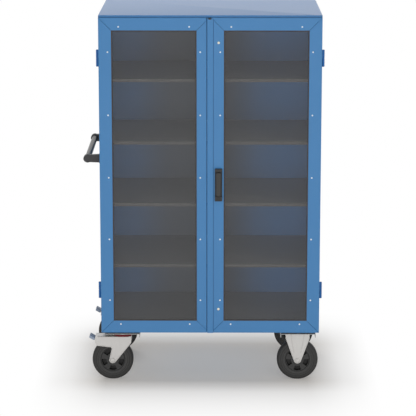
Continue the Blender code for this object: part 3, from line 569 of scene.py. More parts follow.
def punched_channel(low, high, inward):
    """The outer skin of a channel as a grid: one parameter runs round the section, the other up it.

    The section goes from one flange edge over the web to the other, and cells of the web that lie in a slot
    are left out of the faces. Solidify then gives the sheet its thickness.
    """
    outer, web = (low[0], high[0]) if inward > 0 else (high[0], low[0])
    middle, half = (low[1] + high[1]) / 2, (high[1] - low[1]) / 2
    fold = 1.5 * upright_sheet
    turn = np.radians(np.linspace(0, 90, 4))
    first_y = -half + fold * (1 - np.sin(turn))
    first_x = web - inward * fold * (1 - np.cos(turn))
    ys = np.concatenate([[-half], first_y[::-1], [-slot_width / 2, slot_width / 2], -first_y, [half]])
    xs = np.concatenate([[outer], first_x[::-1], [web, web], first_x, [outer]])
    count = int((high[2] - low[2]) / slot_pitch)
    spare = (high[2] - low[2] - count * slot_pitch) / 2
    bottoms = low[2] + spare + (slot_pitch - slot_height) / 2 + slot_pitch * np.arange(count)
    zs = np.sort(np.concatenate([[low[2], high[2]], bottoms, bottoms + slot_height]))
    points = placed(xs, ys + middle, zs[:, None], "Z").reshape(-1, 3)
    row, column = np.meshgrid(np.arange(len(zs) - 1), np.arange(len(xs) - 1), indexing="ij")
    kept = ~((column == 5) & (row % 2 == 1))
    start = (row * len(xs) + column)[kept]
    quads = np.stack([start, start + 1, start + 1 + len(xs), start + len(xs)], axis=-1)
    return points, (quads if inward > 0 else quads[:, ::-1]).tolist()


galvanised = spangled_zinc("galvanised_steel", zinc_colours)
for upright_name, inward in uprights.items():
    upright = make_piece(upright_name + "_punched", [punched_channel(*box(upright_name), inward)], galvanised)
    thicken = upright.modifiers.new("sheet", "SOLIDIFY")
    thicken.thickness = upright_sheet
    thicken.offset = -1
    thicken.use_even_offset = True
    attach(upright, "cabinet")
    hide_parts(upright_name)


# Shelves
# Galvanised trays turned down all round, each resting on four clips hooked into the uprights.
shelf_sheet = 0.0015
shelf_fold = 0.0020
shelf_hem = 0.0040
shelf_metallic = 0.15
shelf_colours = ((0.38, 0.385, 0.39), (0.46, 0.465, 0.465))
# Tones by distance from the shelves' front: the lip darkened to 0.4 is painted shade.
shelf_lip_painted_shade = [(0.0, 0.40), (0.0030, 0.40), (0.0060, 1.0), (0.0100, 1.0)]
clip_width = 0.018
clip_sheet = 0.0018
clip_reach = 0.014
clip_height = 0.022
clip_hook = 0.004
clip_gap = 0.0003


def graded(material, centre, axes, stops):
    """Multiplies a material's base colour by a grey that follows the distance from a centre."""
    tree = material.node_tree
    base = tree.nodes["Principled BSDF"].inputs["Base Color"]
    tone = ramp_tone(tree, distance_from(tree, centre, axes), stops)
    factors = {"Factor": 1.0, "A": base.links[0].from_socket, "B": tone}
    product = shader_node(tree, "Mix", factors, data_type="RGBA", blend_type="MULTIPLY")["Result"]
    tree.links.new(product, base)
    return material


def hemmed_shelf(low, high, sheet, fold, hem):
    """A shelf pan: a flat top, a round fold, a straight lip and a narrow hem turned back under it."""
    centre, half = (low + high) / 2, (high - low) / 2
    depth = high[2] - low[2]
    profile = quarter_turn(fold, fold, fold, 270, 180)
    profile += quarter_turn(sheet, sheet, depth - sheet, 180, 90)
    profile += [(hem, depth), (hem, depth - sheet)]
    profile += [(sheet * 1.5, depth - sheet), (sheet, depth - sheet * 1.5)]
    profile += quarter_turn(fold, sheet + fold, sheet + fold, 180, 270)
    rows = [(inset, -along) for inset, along in profile]
    return ring_shell(stacked_rings(half[0], half[1], fold, rows, "Z", (centre[0], centre[1], high[2])))


shelf_front = (0.0, box("shelf_1")[0][1], 0.0)
shelf_zinc = spangled_zinc("galvanised_shelf_steel", shelf_colours, shelf_metallic)
# Darkens each shelf's front lip: painted shade.
graded(shelf_zinc, shelf_front, "Y", shelf_lip_painted_shade)
for shelf_number in (1, 2, 3, 4):
    shelf_name = "shelf_" + str(shelf_number)
    shelf_low, shelf_high = box(shelf_name)
    shelf_skin = hemmed_shelf(shelf_low, shelf_high, shelf_sheet, shelf_fold, shelf_hem)
    shelf = make_piece(shelf_name + "_pan", [shelf_skin], shelf_zinc)
    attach(shelf, "cabinet")
    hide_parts(shelf_name)
    clips = []
    for upright_name, inward in uprights.items():
        upright_low, upright_high = box(upright_name)
        web_x = upright_high[0] if inward > 0 else upright_low[0]
        clip_y = (upright_low[1] + upright_high[1]) / 2
        rest_z = shelf_high[2] - shelf_sheet - clip_sheet / 2 - clip_gap
        rise_x = web_x + inward * (clip_sheet / 2 + clip_gap)
        clip_line = [(web_x - inward * clip_hook, rest_z - clip_height), (rise_x, rest_z - clip_height)]
        clip_line += [(rise_x, rest_z), (rise_x + inward * clip_reach, rest_z)]
        clip_section = folded_strip(clip_line, clip_sheet, clip_sheet)
        clips.append(swept_section(clip_section, "Y", clip_y - clip_width / 2, clip_y + clip_width / 2))
    clip_set = make_piece(shelf_name + "_clips", clips, galvanised)
    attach(clip_set, "cabinet")


# Floor liner
# A plain galvanised sheet laid on the floor tray between the uprights, grey like the shelves.
liner_sheet = 0.0008
liner_gap = 0.0003
liner_edge_gap = 0.0030
liner_corner, liner_edge = 0.002, 0.0002
liner_zinc = spangled_zinc("galvanised_liner_steel", shelf_colours, shelf_metallic)
liner_bottom = tray_high[2] + liner_gap
liner_low = (box("left_front_upright")[1][0] + liner_edge_gap, tray_low[1] + liner_edge_gap, liner_bottom)
liner_high = (
    box("right_front_upright")[0][0] - liner_edge_gap,
    lining_back - lining_sheet - liner_gap,
    liner_bottom + liner_sheet,
)
liner_skin = rounded_block(liner_low, liner_high, "Z", liner_corner, liner_edge)
liner = make_piece("floor_liner_sheet", [liner_skin], liner_zinc)
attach(liner, "cabinet")


# Push bar
# A thin brushed tube between two moulded brackets, screwed to the left wall at hand height.
bar_wall = 0.0020
tube_colours = ((0.170, 0.170, 0.165), (0.145, 0.145, 0.142))
tube_glance = 0.65
brushed_scales = (20.0, 900.0)


def circle_rings(rows, axis, centre, steps):
    """Turned surface: for each row of radius and distance along the axis, one circle round the axis."""
    angles = np.linspace(0, 2 * math.pi, steps, endpoint=False)
    radius, along = np.asarray(rows, dtype=float).T[..., None]
    return placed(radius * np.cos(angles), radius * np.sin(angles), along, axis, centre)


def brushed_metal(name, colours, roughness, axis, glance=1.0):
    """Brushed metal: noise stretched along one axis gives fine lines in the tone, the gloss and the relief.

    The glance is the grey of what it mirrors at a low angle.
    """
    stretch = [brushed_scales[a != axis] for a in "XYZ"]
    gloss, lines = (1.0, 2.0, roughness - 0.06, roughness + 0.08), (1.0, 2.0, 0.00002)
    values = {"Metallic": 0.85, "Specular_Tint": (glance, glance, glance, 1)}
    return mottled(name, colours, (1.0, 2.0), gloss, lines, stretch, **values)


tube_metal = brushed_metal("brushed_tube", tube_colours, 0.30, "Y", tube_glance)
bar_low, bar_high = box("push_bar")
bar_x, _, bar_z = (bar_low + bar_high) / 2
bar_radius = (bar_high[0] - bar_low[0]) / 2
bar_rows = [(bar_radius, bar_low[1]), (bar_radius, bar_high[1])]
bar_rows += [(bar_radius - bar_wall, bar_high[1]), (bar_radius - bar_wall, bar_low[1])]
bar_skin = ring_shell(circle_rings(bar_rows, "Y", (bar_x, 0, bar_z), 48), closed=True)
bar = make_piece("push_bar_tube", [bar_skin], tube_metal)
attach(bar, "cabinet")
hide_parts("push_bar")


# Push bar brackets
# Glass-filled nylon, moulded: a cup round the tube's end that swells into a foot screwed on through the wall.
plastic_colours = ((0.030, 0.030, 0.031), (0.040, 0.040, 0.042))
plastic_clouds = (12.0, 3.0)
plastic_grain = (1500.0, 1.0, 0.00005)
bracket_foot = 0.004
bracket_foot_edge = 0.0008
bracket_foot_step = 0.004
bracket_power = 5.0
neck_share, neck_height_share = 0.44, 0.90


def superellipse(power, steps):
    """Once round |a|^n + |b|^n = 1: the sign of cosine and of sine times their size to the power 2 / n."""
    angles = np.linspace(0, 2 * math.pi, steps, endpoint=False)
    circle = np.stack([np.cos(angles), np.sin(angles)])
    return np.sign(circle) * np.abs(circle) ** (2 / power)


def moulded_plastic(name, colours, roughness=0.45):
    """Moulded plastic: a fine eroded grain in relief and slow clouds in tone and gloss."""
    gloss = (*plastic_clouds, roughness - 0.06, roughness + 0.10)
    return mottled(name, colours, plastic_clouds, gloss, plastic_grain, Metallic=0.0)


def bracket_arm(low, high):
    """Rings along X from the wall to the far side of the cup, each a superellipse |y/a|^5 + |z/b|^5 = 1.

    The half height b falls by a smooth step from the foot to the cup and then follows the boss circle,
    sqrt(r^2 - (x - centre)^2), round the tube.
    """
    boss = bar_x - low[0]
    wall_x, root_half = high[0], (high[2] - low[2]) / 2
    foot_x, neck_x = wall_x - bracket_foot, bar_x + neck_share * boss
    flare = np.linspace(0, 1, 14)
    ease = flare * flare * (3 - 2 * flare)
    arm_half = (root_half - bracket_foot_step) * (1 - ease) + neck_height_share * boss * ease
    sweep = np.radians(np.linspace(64, 176, 16))
    foot_xs = [wall_x, wall_x - bracket_foot_edge, foot_x]
    foot_halves = [root_half - bracket_foot_edge, root_half, root_half]
    xs = np.concatenate([foot_xs, foot_x + (neck_x - foot_x) * flare, bar_x + boss * np.cos(sweep)])
    halves = np.concatenate([foot_halves, arm_half, boss * np.sin(sweep)])
    across, up = superellipse(bracket_power, 48)
    y = (low[1] + high[1]) / 2 + (high[1] - low[1]) / 2 * across
    return ring_shell(placed(y, bar_z + halves[:, None] * up, xs[:, None], "X"))


black_plastic = moulded_plastic("black_plastic", plastic_colours)
for bracket_name in ("push_bar_front_bracket", "push_bar_rear_bracket"):
    bracket = make_piece(bracket_name + "_moulding", [bracket_arm(*box(bracket_name))], black_plastic, 50)
    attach(bracket, "cabinet")
    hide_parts(bracket_name)


# Hinges
# Lift-off hinges in darker blue: a pin fixed in the lower knuckle, the upper knuckle on the door's leaf.
# Two domed screws, painted over, hold each leaf.
hinge_colours = ((0.014, 0.125, 0.380), (0.012, 0.110, 0.340))
hinge_gap = 0.0006
knuckle_chamfer = 0.0012
pin_recess = [(0.0034, 0.0), (0.0034, 0.0006), (0.0028, 0.0002)]
leaf_sheet = 0.002
leaf_corner, leaf_edge = 0.0015, 0.0004
hinge_screw_radius = 0.0042
hinge_screw_height = 0.0016
hinge_screw_shares = (0.25, 0.75)
dome_degrees = 58
socket_rows = ((0.42, 1.0), (0.36, 0.35))


def screw_head(centre, axis, direction, radius, height):
    """A low domed head, turned: flat seat, dome of a circle's arc, and a round socket sunk in the middle."""
    sweep = np.radians(np.linspace(0, dome_degrees, 5))
    rows = [(radius * math.cos(t), height * math.sin(t) / math.sin(sweep[-1])) for t in sweep]
    rows += [(radius * wide, height * high) for wide, high in socket_rows]
    rows = [(r, direction * along) for r, along in rows]
    return ring_shell(circle_rings(rows, axis, centre, 16))


hinge_coat = powder_coat("hinge_powder_coat", hinge_colours, 0.50, 0.0)
for hinge_side, outward in (("left", -1), ("right", 1)):
    for hinge_name in (hinge_side + "_upper_hinge", hinge_side + "_lower_hinge"):
        knuckle_low, knuckle_high = box(hinge_name + "_door_leaf")
        knuckle = (knuckle_high[0] - knuckle_low[0]) / 2
        for leaf_word, leaf_body in (("body", "cabinet"), ("door", hinge_side + "_door")):
            leaf_name = hinge_name + "_" + leaf_word + "_leaf"
            leaf_low, leaf_high = box(leaf_name)
            outer_x, inner_x = (leaf_low[0], leaf_high[0])[::-outward]
            if leaf_body == "cabinet":
                axis_y = leaf_low[1] + knuckle
                bottom, top = leaf_low[2], knuckle_low[2] - hinge_gap / 2
                span, screw_y = (axis_y, leaf_high[1]), (axis_y + knuckle + leaf_high[1]) / 2
            else:
                axis_y = leaf_high[1] - knuckle
                bottom, top = leaf_low[2] + hinge_gap / 2, leaf_high[2]
                span, screw_y = (leaf_low[1], axis_y), (axis_y - knuckle + leaf_low[1]) / 2
            rows = [(knuckle - knuckle_chamfer, bottom), (knuckle, bottom + knuckle_chamfer)]
            rows += [(knuckle, top - knuckle_chamfer), (knuckle - knuckle_chamfer, top)]
            if leaf_body != "cabinet":
                rows += [(radius, top - sunk) for radius, sunk in pin_recess]
            barrel = ring_shell(circle_rings(rows, "Z", (outer_x - outward * knuckle, axis_y, 0), 32))
            face_x = inner_x + outward * leaf_sheet
            low_x, high_x = sorted((inner_x, face_x))
            flat_low, flat_high = (low_x, span[0], bottom), (high_x, span[1], top)
            flat = rounded_block(flat_low, flat_high, "X", leaf_corner, leaf_edge)
            hinge = make_piece(leaf_name + "_formed", [barrel, flat], hinge_coat)
            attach(hinge, leaf_body)
            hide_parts(leaf_name)
            heads = [
                screw_head((face_x, screw_y, z), "X", outward, hinge_screw_radius, hinge_screw_height)
                for z in (bottom + share * (top - bottom) for share in hinge_screw_shares)
            ]
            screws = make_piece(leaf_name + "_screws", heads, hinge_coat)
            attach(screws, leaf_body)


# Doors
# Each door is a frame of four folded C members, mitred and welded at the corners, then powder coated.
door_sheet = 0.0020
door_fold = 0.0011
door_flange = 0.015
mitre_gap = 0.0006
mitre_groove = 0.0014
mitre_depth = 0.0009
rail_face = 0.060
narrow_stile = 0.047
door_faces = {"left_door": (rail_face, narrow_stile), "right_door": (rail_face, rail_face)}
door_colours = ((0.054, 0.208, 0.452), (0.050, 0.198, 0.436))


def door_member_section(face, depth):
    """The folded C of a door member as (distance in from the door's edge, distance back from its face)."""
    half, step = door_sheet / 2, rail_face - narrow_stile
    line = [(door_flange, depth - half), (step, depth - half), (half, depth - half)]
    line += [(half, half), (step, half), (face, half)]
    return folded_strip(line, door_sheet, door_fold)


def mitred_member(section, face, end_faces, length):
    """One member between two mitres, as the distances in, back and along of each ring's points.

    A point that is u in from the edge ends at u + (the end's face - own face) from the corner, at 45 degrees,
    but never outside the door. Over the last stretch the front face sinks a little, which cuts the weld line.
    """
    u, back = section.T
    front = np.clip(1 - back / (2 * mitre_depth), 0, 1)
    rings = []
    for end, step in ((0, 0), (0, 1), (1, 1), (1, 0)):
        along = np.maximum(u + end_faces[end] - face, 0) + mitre_gap + mitre_groove * step
        rings.append([u, back + mitre_depth * (1 - step) * front, length - along if end else along])
    return np.array(rings).transpose(1, 0, 2)


door_coat = powder_coat("door_powder_coat", door_colours, 0.38)
for door_name in ("left_door", "right_door"):
    door_low, door_high = box(door_name + "_frame")
    door_width, door_depth, door_tall = door_high - door_low
    left_face, right_face = door_faces[door_name]
    members = {"left": left_face, "right": right_face, "bottom": rail_face, "top": rail_face}
    shells = []
    for member, face in members.items():
        section = door_member_section(face, door_depth)
        if member in ("left", "right"):
            u, back, along = mitred_member(section, face, (rail_face, rail_face), door_tall)
            x = door_low[0] + u if member == "left" else door_high[0] - u
            z = door_low[2] + along
        else:
            u, back, along = mitred_member(section, face, (left_face, right_face), door_width)
            x = door_low[0] + along
            z = door_low[2] + u if member == "bottom" else door_high[2] - u
        shells.append(ring_shell(placed(x, z, door_low[1] + back, "Y")))
    door = make_piece(door_name + "_folded_frame", shells, door_coat, 25)
    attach(door, door_name)
    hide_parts(door_name + "_frame")


# See-through sheets
# Smoked acrylic, four millimetres thick with flamed edges, screwed behind the door faces.
sheet_tint = (0.143, 0.143, 0.144)
sheet_haze, sheet_cover = (2.2, 2.0), (0.26, 0.28)
sheet_wipes, sheet_gloss = (30.0, 3.0), (0.05, 0.13)
sheet_looks = {"Alpha": (sheet_haze, sheet_cover), "Roughness": (sheet_wipes, sheet_gloss)}
sheet_corner, sheet_edge = 0.004, 0.0006
for door_name in ("left_door", "right_door"):
    acrylic = {"Metallic": 0.0, "IOR": 1.45, "Specular_IOR_Level": 0.35, "Base_Color": (*sheet_tint, 1)}
    smoked, smoked_tree, smoked_sockets = surface(door_name + "_smoked_acrylic", **acrylic)
    smoked_place = object_place(smoked_tree)
    for socket, (texture, least_most) in sheet_looks.items():
        value = ranged(smoked_tree, noise(smoked_tree, smoked_place, *texture), *least_most)
        smoked_tree.links.new(value, smoked_sockets[socket])
    pane_skin = rounded_block(*box(door_name + "_pane"), "Y", sheet_corner, sheet_edge)
    pane = make_piece(door_name + "_acrylic_sheet", [pane_skin], smoked)
    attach(pane, door_name)
    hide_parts(door_name + "_pane")


# Sheet screws
# Bright domed screws through the door faces, 17 mm outside the opening, which clamp the see-through sheets.
sheet_screw_radius = 0.0040
sheet_screw_height = 0.0022
screw_outside = 0.017
stile_screw_pitch = 0.300
rail_screw_half = 0.166
screw_metal = brushed_metal("bright_screw", ((0.95, 0.95, 0.93), (0.88, 0.88, 0.86)), 0.30, "Z")


def door_opening(door_name):
    """The lowest and highest corner of the opening in a door's face, in X and Z."""
    low, high = box(door_name + "_frame")
    left_face, right_face = door_faces[door_name]
    return (low[0] + left_face, low[2] + rail_face), (high[0] - right_face, high[2] - rail_face)


door_face_y = box("right_door_frame")[0][1]
for door_name in ("left_door", "right_door"):
    (open_left, open_low), (open_right, open_high) = door_opening(door_name)
    middle_x, middle_z = (open_left + open_right) / 2, (open_low + open_high) / 2
    places = [
        (x, middle_z + step * stile_screw_pitch)
        for x in (open_left - screw_outside, open_right + screw_outside)
        for step in (-2, -1, 0, 1, 2)
        if not (door_name == "right_door" and x < open_left and step == 0)
    ]
    places += [
        (middle_x + half, z)
        for half in (-rail_screw_half, rail_screw_half)
        for z in (open_low - screw_outside, open_high + screw_outside)
    ]
    heads = [
        screw_head((x, door_face_y, z), "Y", -1, sheet_screw_radius, sheet_screw_height)
        for x, z in places
    ]
    sheet_screws = make_piece(door_name + "_sheet_screws", heads, screw_metal)
    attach(sheet_screws, door_name)


# Cover strip
# A folded angle screwed to the right door: it covers the joint and turns back into it beside the left door.
# A darker blue rubber bead along its other edge and a black moulded plug at its upper end are painted shade:
# they stand for the shadow along that edge and the shadow gap above the strip.
strip_sheet = 0.0030
strip_fold = 0.0018
strip_broken_edge = 0.0005
edge_shade_gap, edge_shade_width, edge_shade_end, edge_shade_round = 0.0001, 0.0020, 0.004, 0.0006
edge_shade_sunk = 0.0010
top_shade_low, top_shade_high = (0.0055, -0.0008, -0.0060), (0.0205, 0.0010, 0.0)
top_shade_corner, top_shade_edge = 0.0015, 0.0005


def broken_edges(piece, name, width, segments, degrees=30):
    """Rounds the edges at which faces meet at more than an angle."""
    bevel = piece.modifiers.new(name, "BEVEL")
    bevel.width = width
    bevel.segments = segments
    bevel.limit_method = "ANGLE"
    bevel.angle_limit = math.radians(degrees)


strip_low, strip_high = box("door_cover_strip")
strip_x, strip_y = strip_low[:2] + strip_sheet / 2
strip_line = [(strip_high[0], strip_y), (strip_x, strip_y), (strip_x, strip_high[1])]
strip_section = folded_strip(strip_line, strip_sheet, strip_fold)
strip_skin = swept_section(strip_section, "Z", strip_low[2], strip_high[2])
strip = make_piece("door_cover_strip_fold", [strip_skin], door_coat)
broken_edges(strip, "broken_edge", strip_broken_edge, 2)
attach(strip, "right_door")
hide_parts("door_cover_strip")
# The darker blue bead, about half as bright as the door paint, is painted shade along the strip's edge.
edge_shade_rubber = moulded_plastic("blue_edge_painted_shade", ((0.028, 0.100, 0.240), (0.024, 0.088, 0.215)), 0.55)
edge_shade_low = (strip_high[0] + edge_shade_gap, strip_low[1] + edge_shade_sunk, strip_low[2] + edge_shade_end)
edge_shade_high = (strip_high[0] + edge_shade_width, strip_low[1] + strip_sheet, strip_high[2] - edge_shade_end)
edge_shade_skin = rounded_block(edge_shade_low, edge_shade_high, "Z", edge_shade_round, edge_shade_round)
strip_edge_shade = make_piece("door_cover_strip_edge_shade", [edge_shade_skin], edge_shade_rubber)
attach(strip_edge_shade, "right_door")
# The black plug at the strip's top is painted shade: it stands for the shadow gap above the strip.
top_shade_from = np.array([strip_low[0], strip_low[1], strip_high[2]])
top_shade_skin = rounded_block(top_shade_from + top_shade_low, top_shade_from + top_shade_high, "Y", top_shade_corner, top_shade_edge)
strip_top_shade = make_piece("door_cover_strip_top_shade", [top_shade_skin], black_plastic)
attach(strip_top_shade, "right_door")


# Lock handle
# A moulded base screwed to the right door. The lever in it lifts on its cross pin and turns the spindle.
plate_depth, cap_depth, boss_depth = 0.0120, 0.0220, 0.0240
lever_gap = 0.0006
base_round = 0.0022
lever_pivot_radius = 0.0130
lever_pin_from_back = 0.0040
lever_tip_half = 0.0110
lever_tip_round = 0.007
lever_relief = 0.0065
lever_hollow = 0.07
lever_tip_lean = 0.3
lever_top_turn = 1.48
lever_power = 3.6
handle_plastic = moulded_plastic("handle_plastic", ((0.029, 0.029, 0.028), (0.036, 0.036, 0.035)), 0.48)
edge_plastic = moulded_plastic("handle_base_plastic", ((0.022, 0.022, 0.022), (0.030, 0.030, 0.030)), 0.48)
base_low, base_high = box("lock_handle_base")
lever_low, lever_high = box("lock_lever")
lock_x = (base_low[0] + base_high[0]) / 2
cap_start, boss_end = lever_high[2] + lever_gap, lever_low[2] - lever_gap
base_side = [(0, base_low[2]), (boss_depth, base_low[2]), (boss_depth, boss_end), (plate_depth, boss_end)]
base_side += [(plate_depth, cap_start), (cap_depth, cap_start), (cap_depth, base_high[2]), (0, base_high[2])]
base_side = [(base_high[1] - depth, z) for depth, z in base_side]
base_skin = swept_section(base_side, "X", base_low[0], base_high[0])
base = make_piece("lock_handle_base_moulding", [base_skin], edge_plastic)
broken_edges(base, "moulded_edges", base_round, 3)
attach(base, "right_door")
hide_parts("lock_handle_base")


def grip_lever(low, high):
    """Rings up the lever, each a superellipse whose half width and depth follow its front and side outlines.

    From the front it tapers evenly from the pivot circle to a round-cornered tip. From the side the part
    above the pin is an arc about the pin, and the back slopes away there so that the lever can lift.
    """
    pivot_z = high[2] - lever_pivot_radius
    z_tip = low[2] + lever_tip_round * (1 - np.cos(np.linspace(0, math.pi / 2, 6)))
    z_body = np.linspace(low[2] + lever_tip_round, pivot_z, 14)[1:]
    z_top = pivot_z + lever_pivot_radius * np.sin(np.linspace(0, lever_top_turn, 12))[1:]
    z = np.concatenate([z_tip, z_body, z_top])
    above = np.maximum(z - pivot_z, 0)
    share = np.clip((z - low[2]) / (pivot_z - low[2]), 0, 1)
    circle = np.sqrt(np.maximum(lever_pivot_radius**2 - above**2, 1e-8))
    corner = np.clip(1 - (z - low[2]) / lever_tip_round, 0, 1)
    drawn_in = lever_tip_round * (1 - np.sqrt(1 - corner**2))
    half = lever_tip_half + (lever_pivot_radius - lever_tip_half) * share - drawn_in
    half = np.where(above > 0, circle, half)
    arc = np.maximum(low[1], high[1] - lever_pin_from_back - circle)
    front = np.where(above > 0, arc, low[1]) + lever_tip_lean * drawn_in
    back = high[1] - lever_relief * np.clip(above / lever_pivot_radius, 0, 1)
    back -= np.where(share < 1, lever_hollow * (high[1] - low[1]) * np.sin(math.pi * share) ** 2, 0)
    across, deep = superellipse(lever_power, 40)
    x = (low[0] + high[0]) / 2 + half[:, None] * across
    y = ((front + back) / 2)[:, None] + ((back - front) / 2)[:, None] * deep
    return ring_shell(placed(x, y, z[:, None], "Z"))


lever = make_piece("lock_lever_grip", [grip_lever(lever_low, lever_high)], handle_plastic)
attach(lever, "lock_lever")
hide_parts("lock_lever")


# Lock cylinder
# Black-nickelled brass, turned, with a keyway cut in its face and a bezel pressed into the base round it.
keyway_half = np.array([[0.0011], [0.0045]])
keyway_depth = 0.0025
keyway_power = 8
face_flat = 0.72
cylinder_edge = 0.0005
bezel_gap, bezel_width, bezel_proud, bezel_depth = 0.0003, 0.0016, 0.0004, 0.002
cylinder_low, cylinder_high = box("lock_cylinder")
cylinder_x, _, cylinder_z = (cylinder_low + cylinder_high) / 2
cylinder_radius = (cylinder_high[0] - cylinder_low[0]) / 2
cylinder_axis = (cylinder_x, 0, cylinder_z)
cylinder_colours = ((0.055, 0.055, 0.054), (0.045, 0.045, 0.044))
cylinder_metal = brushed_metal("black_nickel_cylinder", cylinder_colours, 0.34, "Z")


def keyed_face(radius, front, back):
    """Rings from the keyway's floor to the round rim: a superellipse of power 8 gives way to a circle."""
    slot, circle = superellipse(keyway_power, 32) * keyway_half, superellipse(2, 32)
    rows = [(slot, front + keyway_depth), (slot, front), (circle * radius * face_flat, front)]
    rows += [(circle * (radius - cylinder_edge), front), (circle * radius, front + cylinder_edge)]
    rows += [(circle * radius, back)]
    return ring_shell([placed(*outline, y, "Y", cylinder_axis) for outline, y in rows])


cylinder_skin = keyed_face(cylinder_radius, cylinder_low[1], cylinder_high[1])
cylinder = make_piece("lock_cylinder_plug", [cylinder_skin], cylinder_metal)
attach(cylinder, "lock_cylinder")
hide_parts("lock_cylinder")
bezel_front = base_high[1] - boss_depth - bezel_proud
bezel_rows = [(bezel_gap, bezel_depth), (bezel_gap, 0), (bezel_width - cylinder_edge, 0)]
bezel_rows += [(bezel_width, cylinder_edge), (bezel_width, bezel_depth)]
bezel_rows = [(cylinder_radius + wider, bezel_front + deeper) for wider, deeper in bezel_rows]
bezel_skin = ring_shell(circle_rings(bezel_rows, "Y", cylinder_axis, 40), closed=True)
bezel = make_piece("lock_cylinder_bezel", [bezel_skin], cylinder_metal)
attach(bezel, "right_door")


# Lock rods and their guides
# Two flat zinc-plated bars behind the door's face, drawn in by the spindle's cam plate, in moulded guides.
zinc_plate_colours = ((0.66, 0.655, 0.63), (0.58, 0.578, 0.56))
yellow_zinc_colours = ((0.98, 0.90, 0.72), (0.90, 0.82, 0.64))
rod_round = 0.0008
guide_rows = ((0.0006, -1), (0, -0.9), (0, 0.9), (0.0006, 1))
guide_corner, way_corner = 0.0022, 0.0006
way_wall, way_gap = 0.0051, 0.0003
guide_screw_radius = 0.0062
guide_screw_height = 0.0026
zinc_plate = brushed_metal("zinc_plated_steel", zinc_plate_colours, 0.42, "Z")
yellow_screw_metal = brushed_metal("yellow_zinc_screw", yellow_zinc_colours, 0.30, "Z")
spindle_node = nodes["lock_spindle"]
spindle_node.data.materials.clear()
spindle_node.data.materials.append(zinc_plate)
for rod_word in ("upper", "lower"):
    rod_low, rod_high = box(rod_word + "_lock_rod")
    rod_skin = rounded_block(rod_low, rod_high, "Z", rod_round, rod_round)
    rod = make_piece(rod_word + "_lock_rod_bar", [rod_skin], zinc_plate)
    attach(rod, rod_word + "_lock_rod")
    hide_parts(rod_word + "_lock_rod")
    guide_low, guide_high = box(rod_word + "_rod_guide")
    centre, (half_x, half_y, half_z) = (guide_low + guide_high) / 2, (guide_high - guide_low) / 2
    guide_rings = [
        rounded_ring(half_x - inset, half_y - inset, guide_corner, share * half_z, "Z", centre, 3)
        for inset, share in guide_rows
    ]
    way_centre = (centre[0], (rod_low[1] + rod_high[1]) / 2, centre[2])
    way_half_y = (rod_high[1] - rod_low[1]) / 2 + way_gap
    guide_rings += [
        rounded_ring(half_x - way_wall, way_half_y, way_corner, share * half_z, "Z", way_centre, 3)
        for share in (1, -1)
    ]
    guide_skin = ring_shell(guide_rings, closed=True)
    guide = make_piece(rod_word + "_rod_guide_moulding", [guide_skin], black_plastic)
    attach(guide, "right_door")
    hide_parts(rod_word + "_rod_guide")
    guide_head = screw_head((lock_x, door_face_y, centre[2]), "Y", -1, guide_screw_radius, guide_screw_height)
    guide_screw = make_piece(rod_word + "_rod_guide_screw", [guide_head], yellow_screw_metal)
    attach(guide_screw, "right_door")


# Glazing tape
# A dark foam tape between each door's face and its see-through sheet, just showing round the opening.
tape_rows = ((-0.0055, 0), (-0.0055, -0.0014), (-0.0049, -0.0019), (0.0002, -0.0019), (0.0002, 0))
tape_corner = 0.0015
tape_colours = ((0.050, 0.044, 0.042), (0.060, 0.053, 0.050))
tape_foam = moulded_plastic("glazing_tape", tape_colours, 0.8)
for door_name in ("left_door", "right_door"):
    (open_left, open_low), (open_right, open_high) = door_opening(door_name)
    half_x, half_z = (open_right - open_left) / 2, (open_high - open_low) / 2
    middle = ((open_left + open_right) / 2, box(door_name + "_pane")[0][1], (open_low + open_high) / 2)
    tape_rings = [
        rounded_ring(half_x + outward, half_z + outward, tape_corner, along, "Y", middle, 3)
        for outward, along in tape_rows
    ]
    tape = make_piece(door_name + "_glazing_tape", [ring_shell(tape_rings, closed=True)], tape_foam)
    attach(tape, door_name)


# Castor top plates
# Pressed zinc-plated plates under the channels, each held by four hexagon bolts, with a ball race pressed in.
plate_length = 0.135
plate_width = 0.110
plate_sheet = 0.005
plate_corner, plate_edge = 0.010, 0.0010
bolt_half_length = 0.0525
bolt_half_width = 0.0400
bolt_across = 0.013
bolt_head = 0.0055
race_radius = 0.043
race_foot = ((-0.006, 0.0), (0.0, 0.002))
race_seat = ((0.0, -0.003), (0.003, 0.0), (-0.004, 0.001))
hexagon_rows = ((1, 0), (1, 0.82), (0.88, 1), (0.46, 1), (0.42, 0.9))
castor_colours = ((0.68, 0.665, 0.645), (0.60, 0.59, 0.575))
fork_zinc = brushed_metal("castor_zinc", castor_colours, 0.46, "Z")


def hexagon_head(centre, axis, direction, across, height):
    """A hexagon bolt head or nut: six-sided rings, the outer corners taken off by a shallow chamfer."""
    corner = across / math.sqrt(3)
    rows = [(corner * wide, direction * height * high) for wide, high in hexagon_rows]
    return ring_shell(circle_rings(rows, axis, centre, 6))


def bolted_plate(low, high):
    """A flat plate with round corners and the heads of its four bolts under it."""
    centre = (np.array(low) + high) / 2
    shells = [rounded_block(low, high, "Z", plate_corner, plate_edge)]
    for along in (-bolt_half_length, bolt_half_length):
        for across in (-bolt_half_width, bolt_half_width):
            place = (centre[0] + along, centre[1] + across, low[2])
            shells.append(hexagon_head(place, "Z", -1, bolt_across, bolt_head))
    return shells


castor_ys = {}
for end_word in ("front", "rear"):
    tyre_low, tyre_high = box(end_word + "_left_tyre")
    castor_ys[end_word] = (tyre_low[1] + tyre_high[1]) / 2
    plate_low, plate_high = box(end_word + "_left_top_plate")
    flat_z = plate_high[2] - plate_sheet
    race_rows = [(race_radius + out, plate_low[2] + up) for out, up in race_foot]
    race_rows += [(race_radius + out, flat_z + up) for out, up in race_seat]
    race_centre = (*(plate_low + plate_high)[:2] / 2, 0)
    shells = bolted_plate((*plate_low[:2], flat_z), plate_high)
    shells.append(ring_shell(circle_rings(race_rows, "Z", race_centre, 48)))
    plate = make_piece(end_word + "_left_plate_and_race", shells, fork_zinc)
    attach(plate, "cabinet")
    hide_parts(end_word + "_left_top_plate")


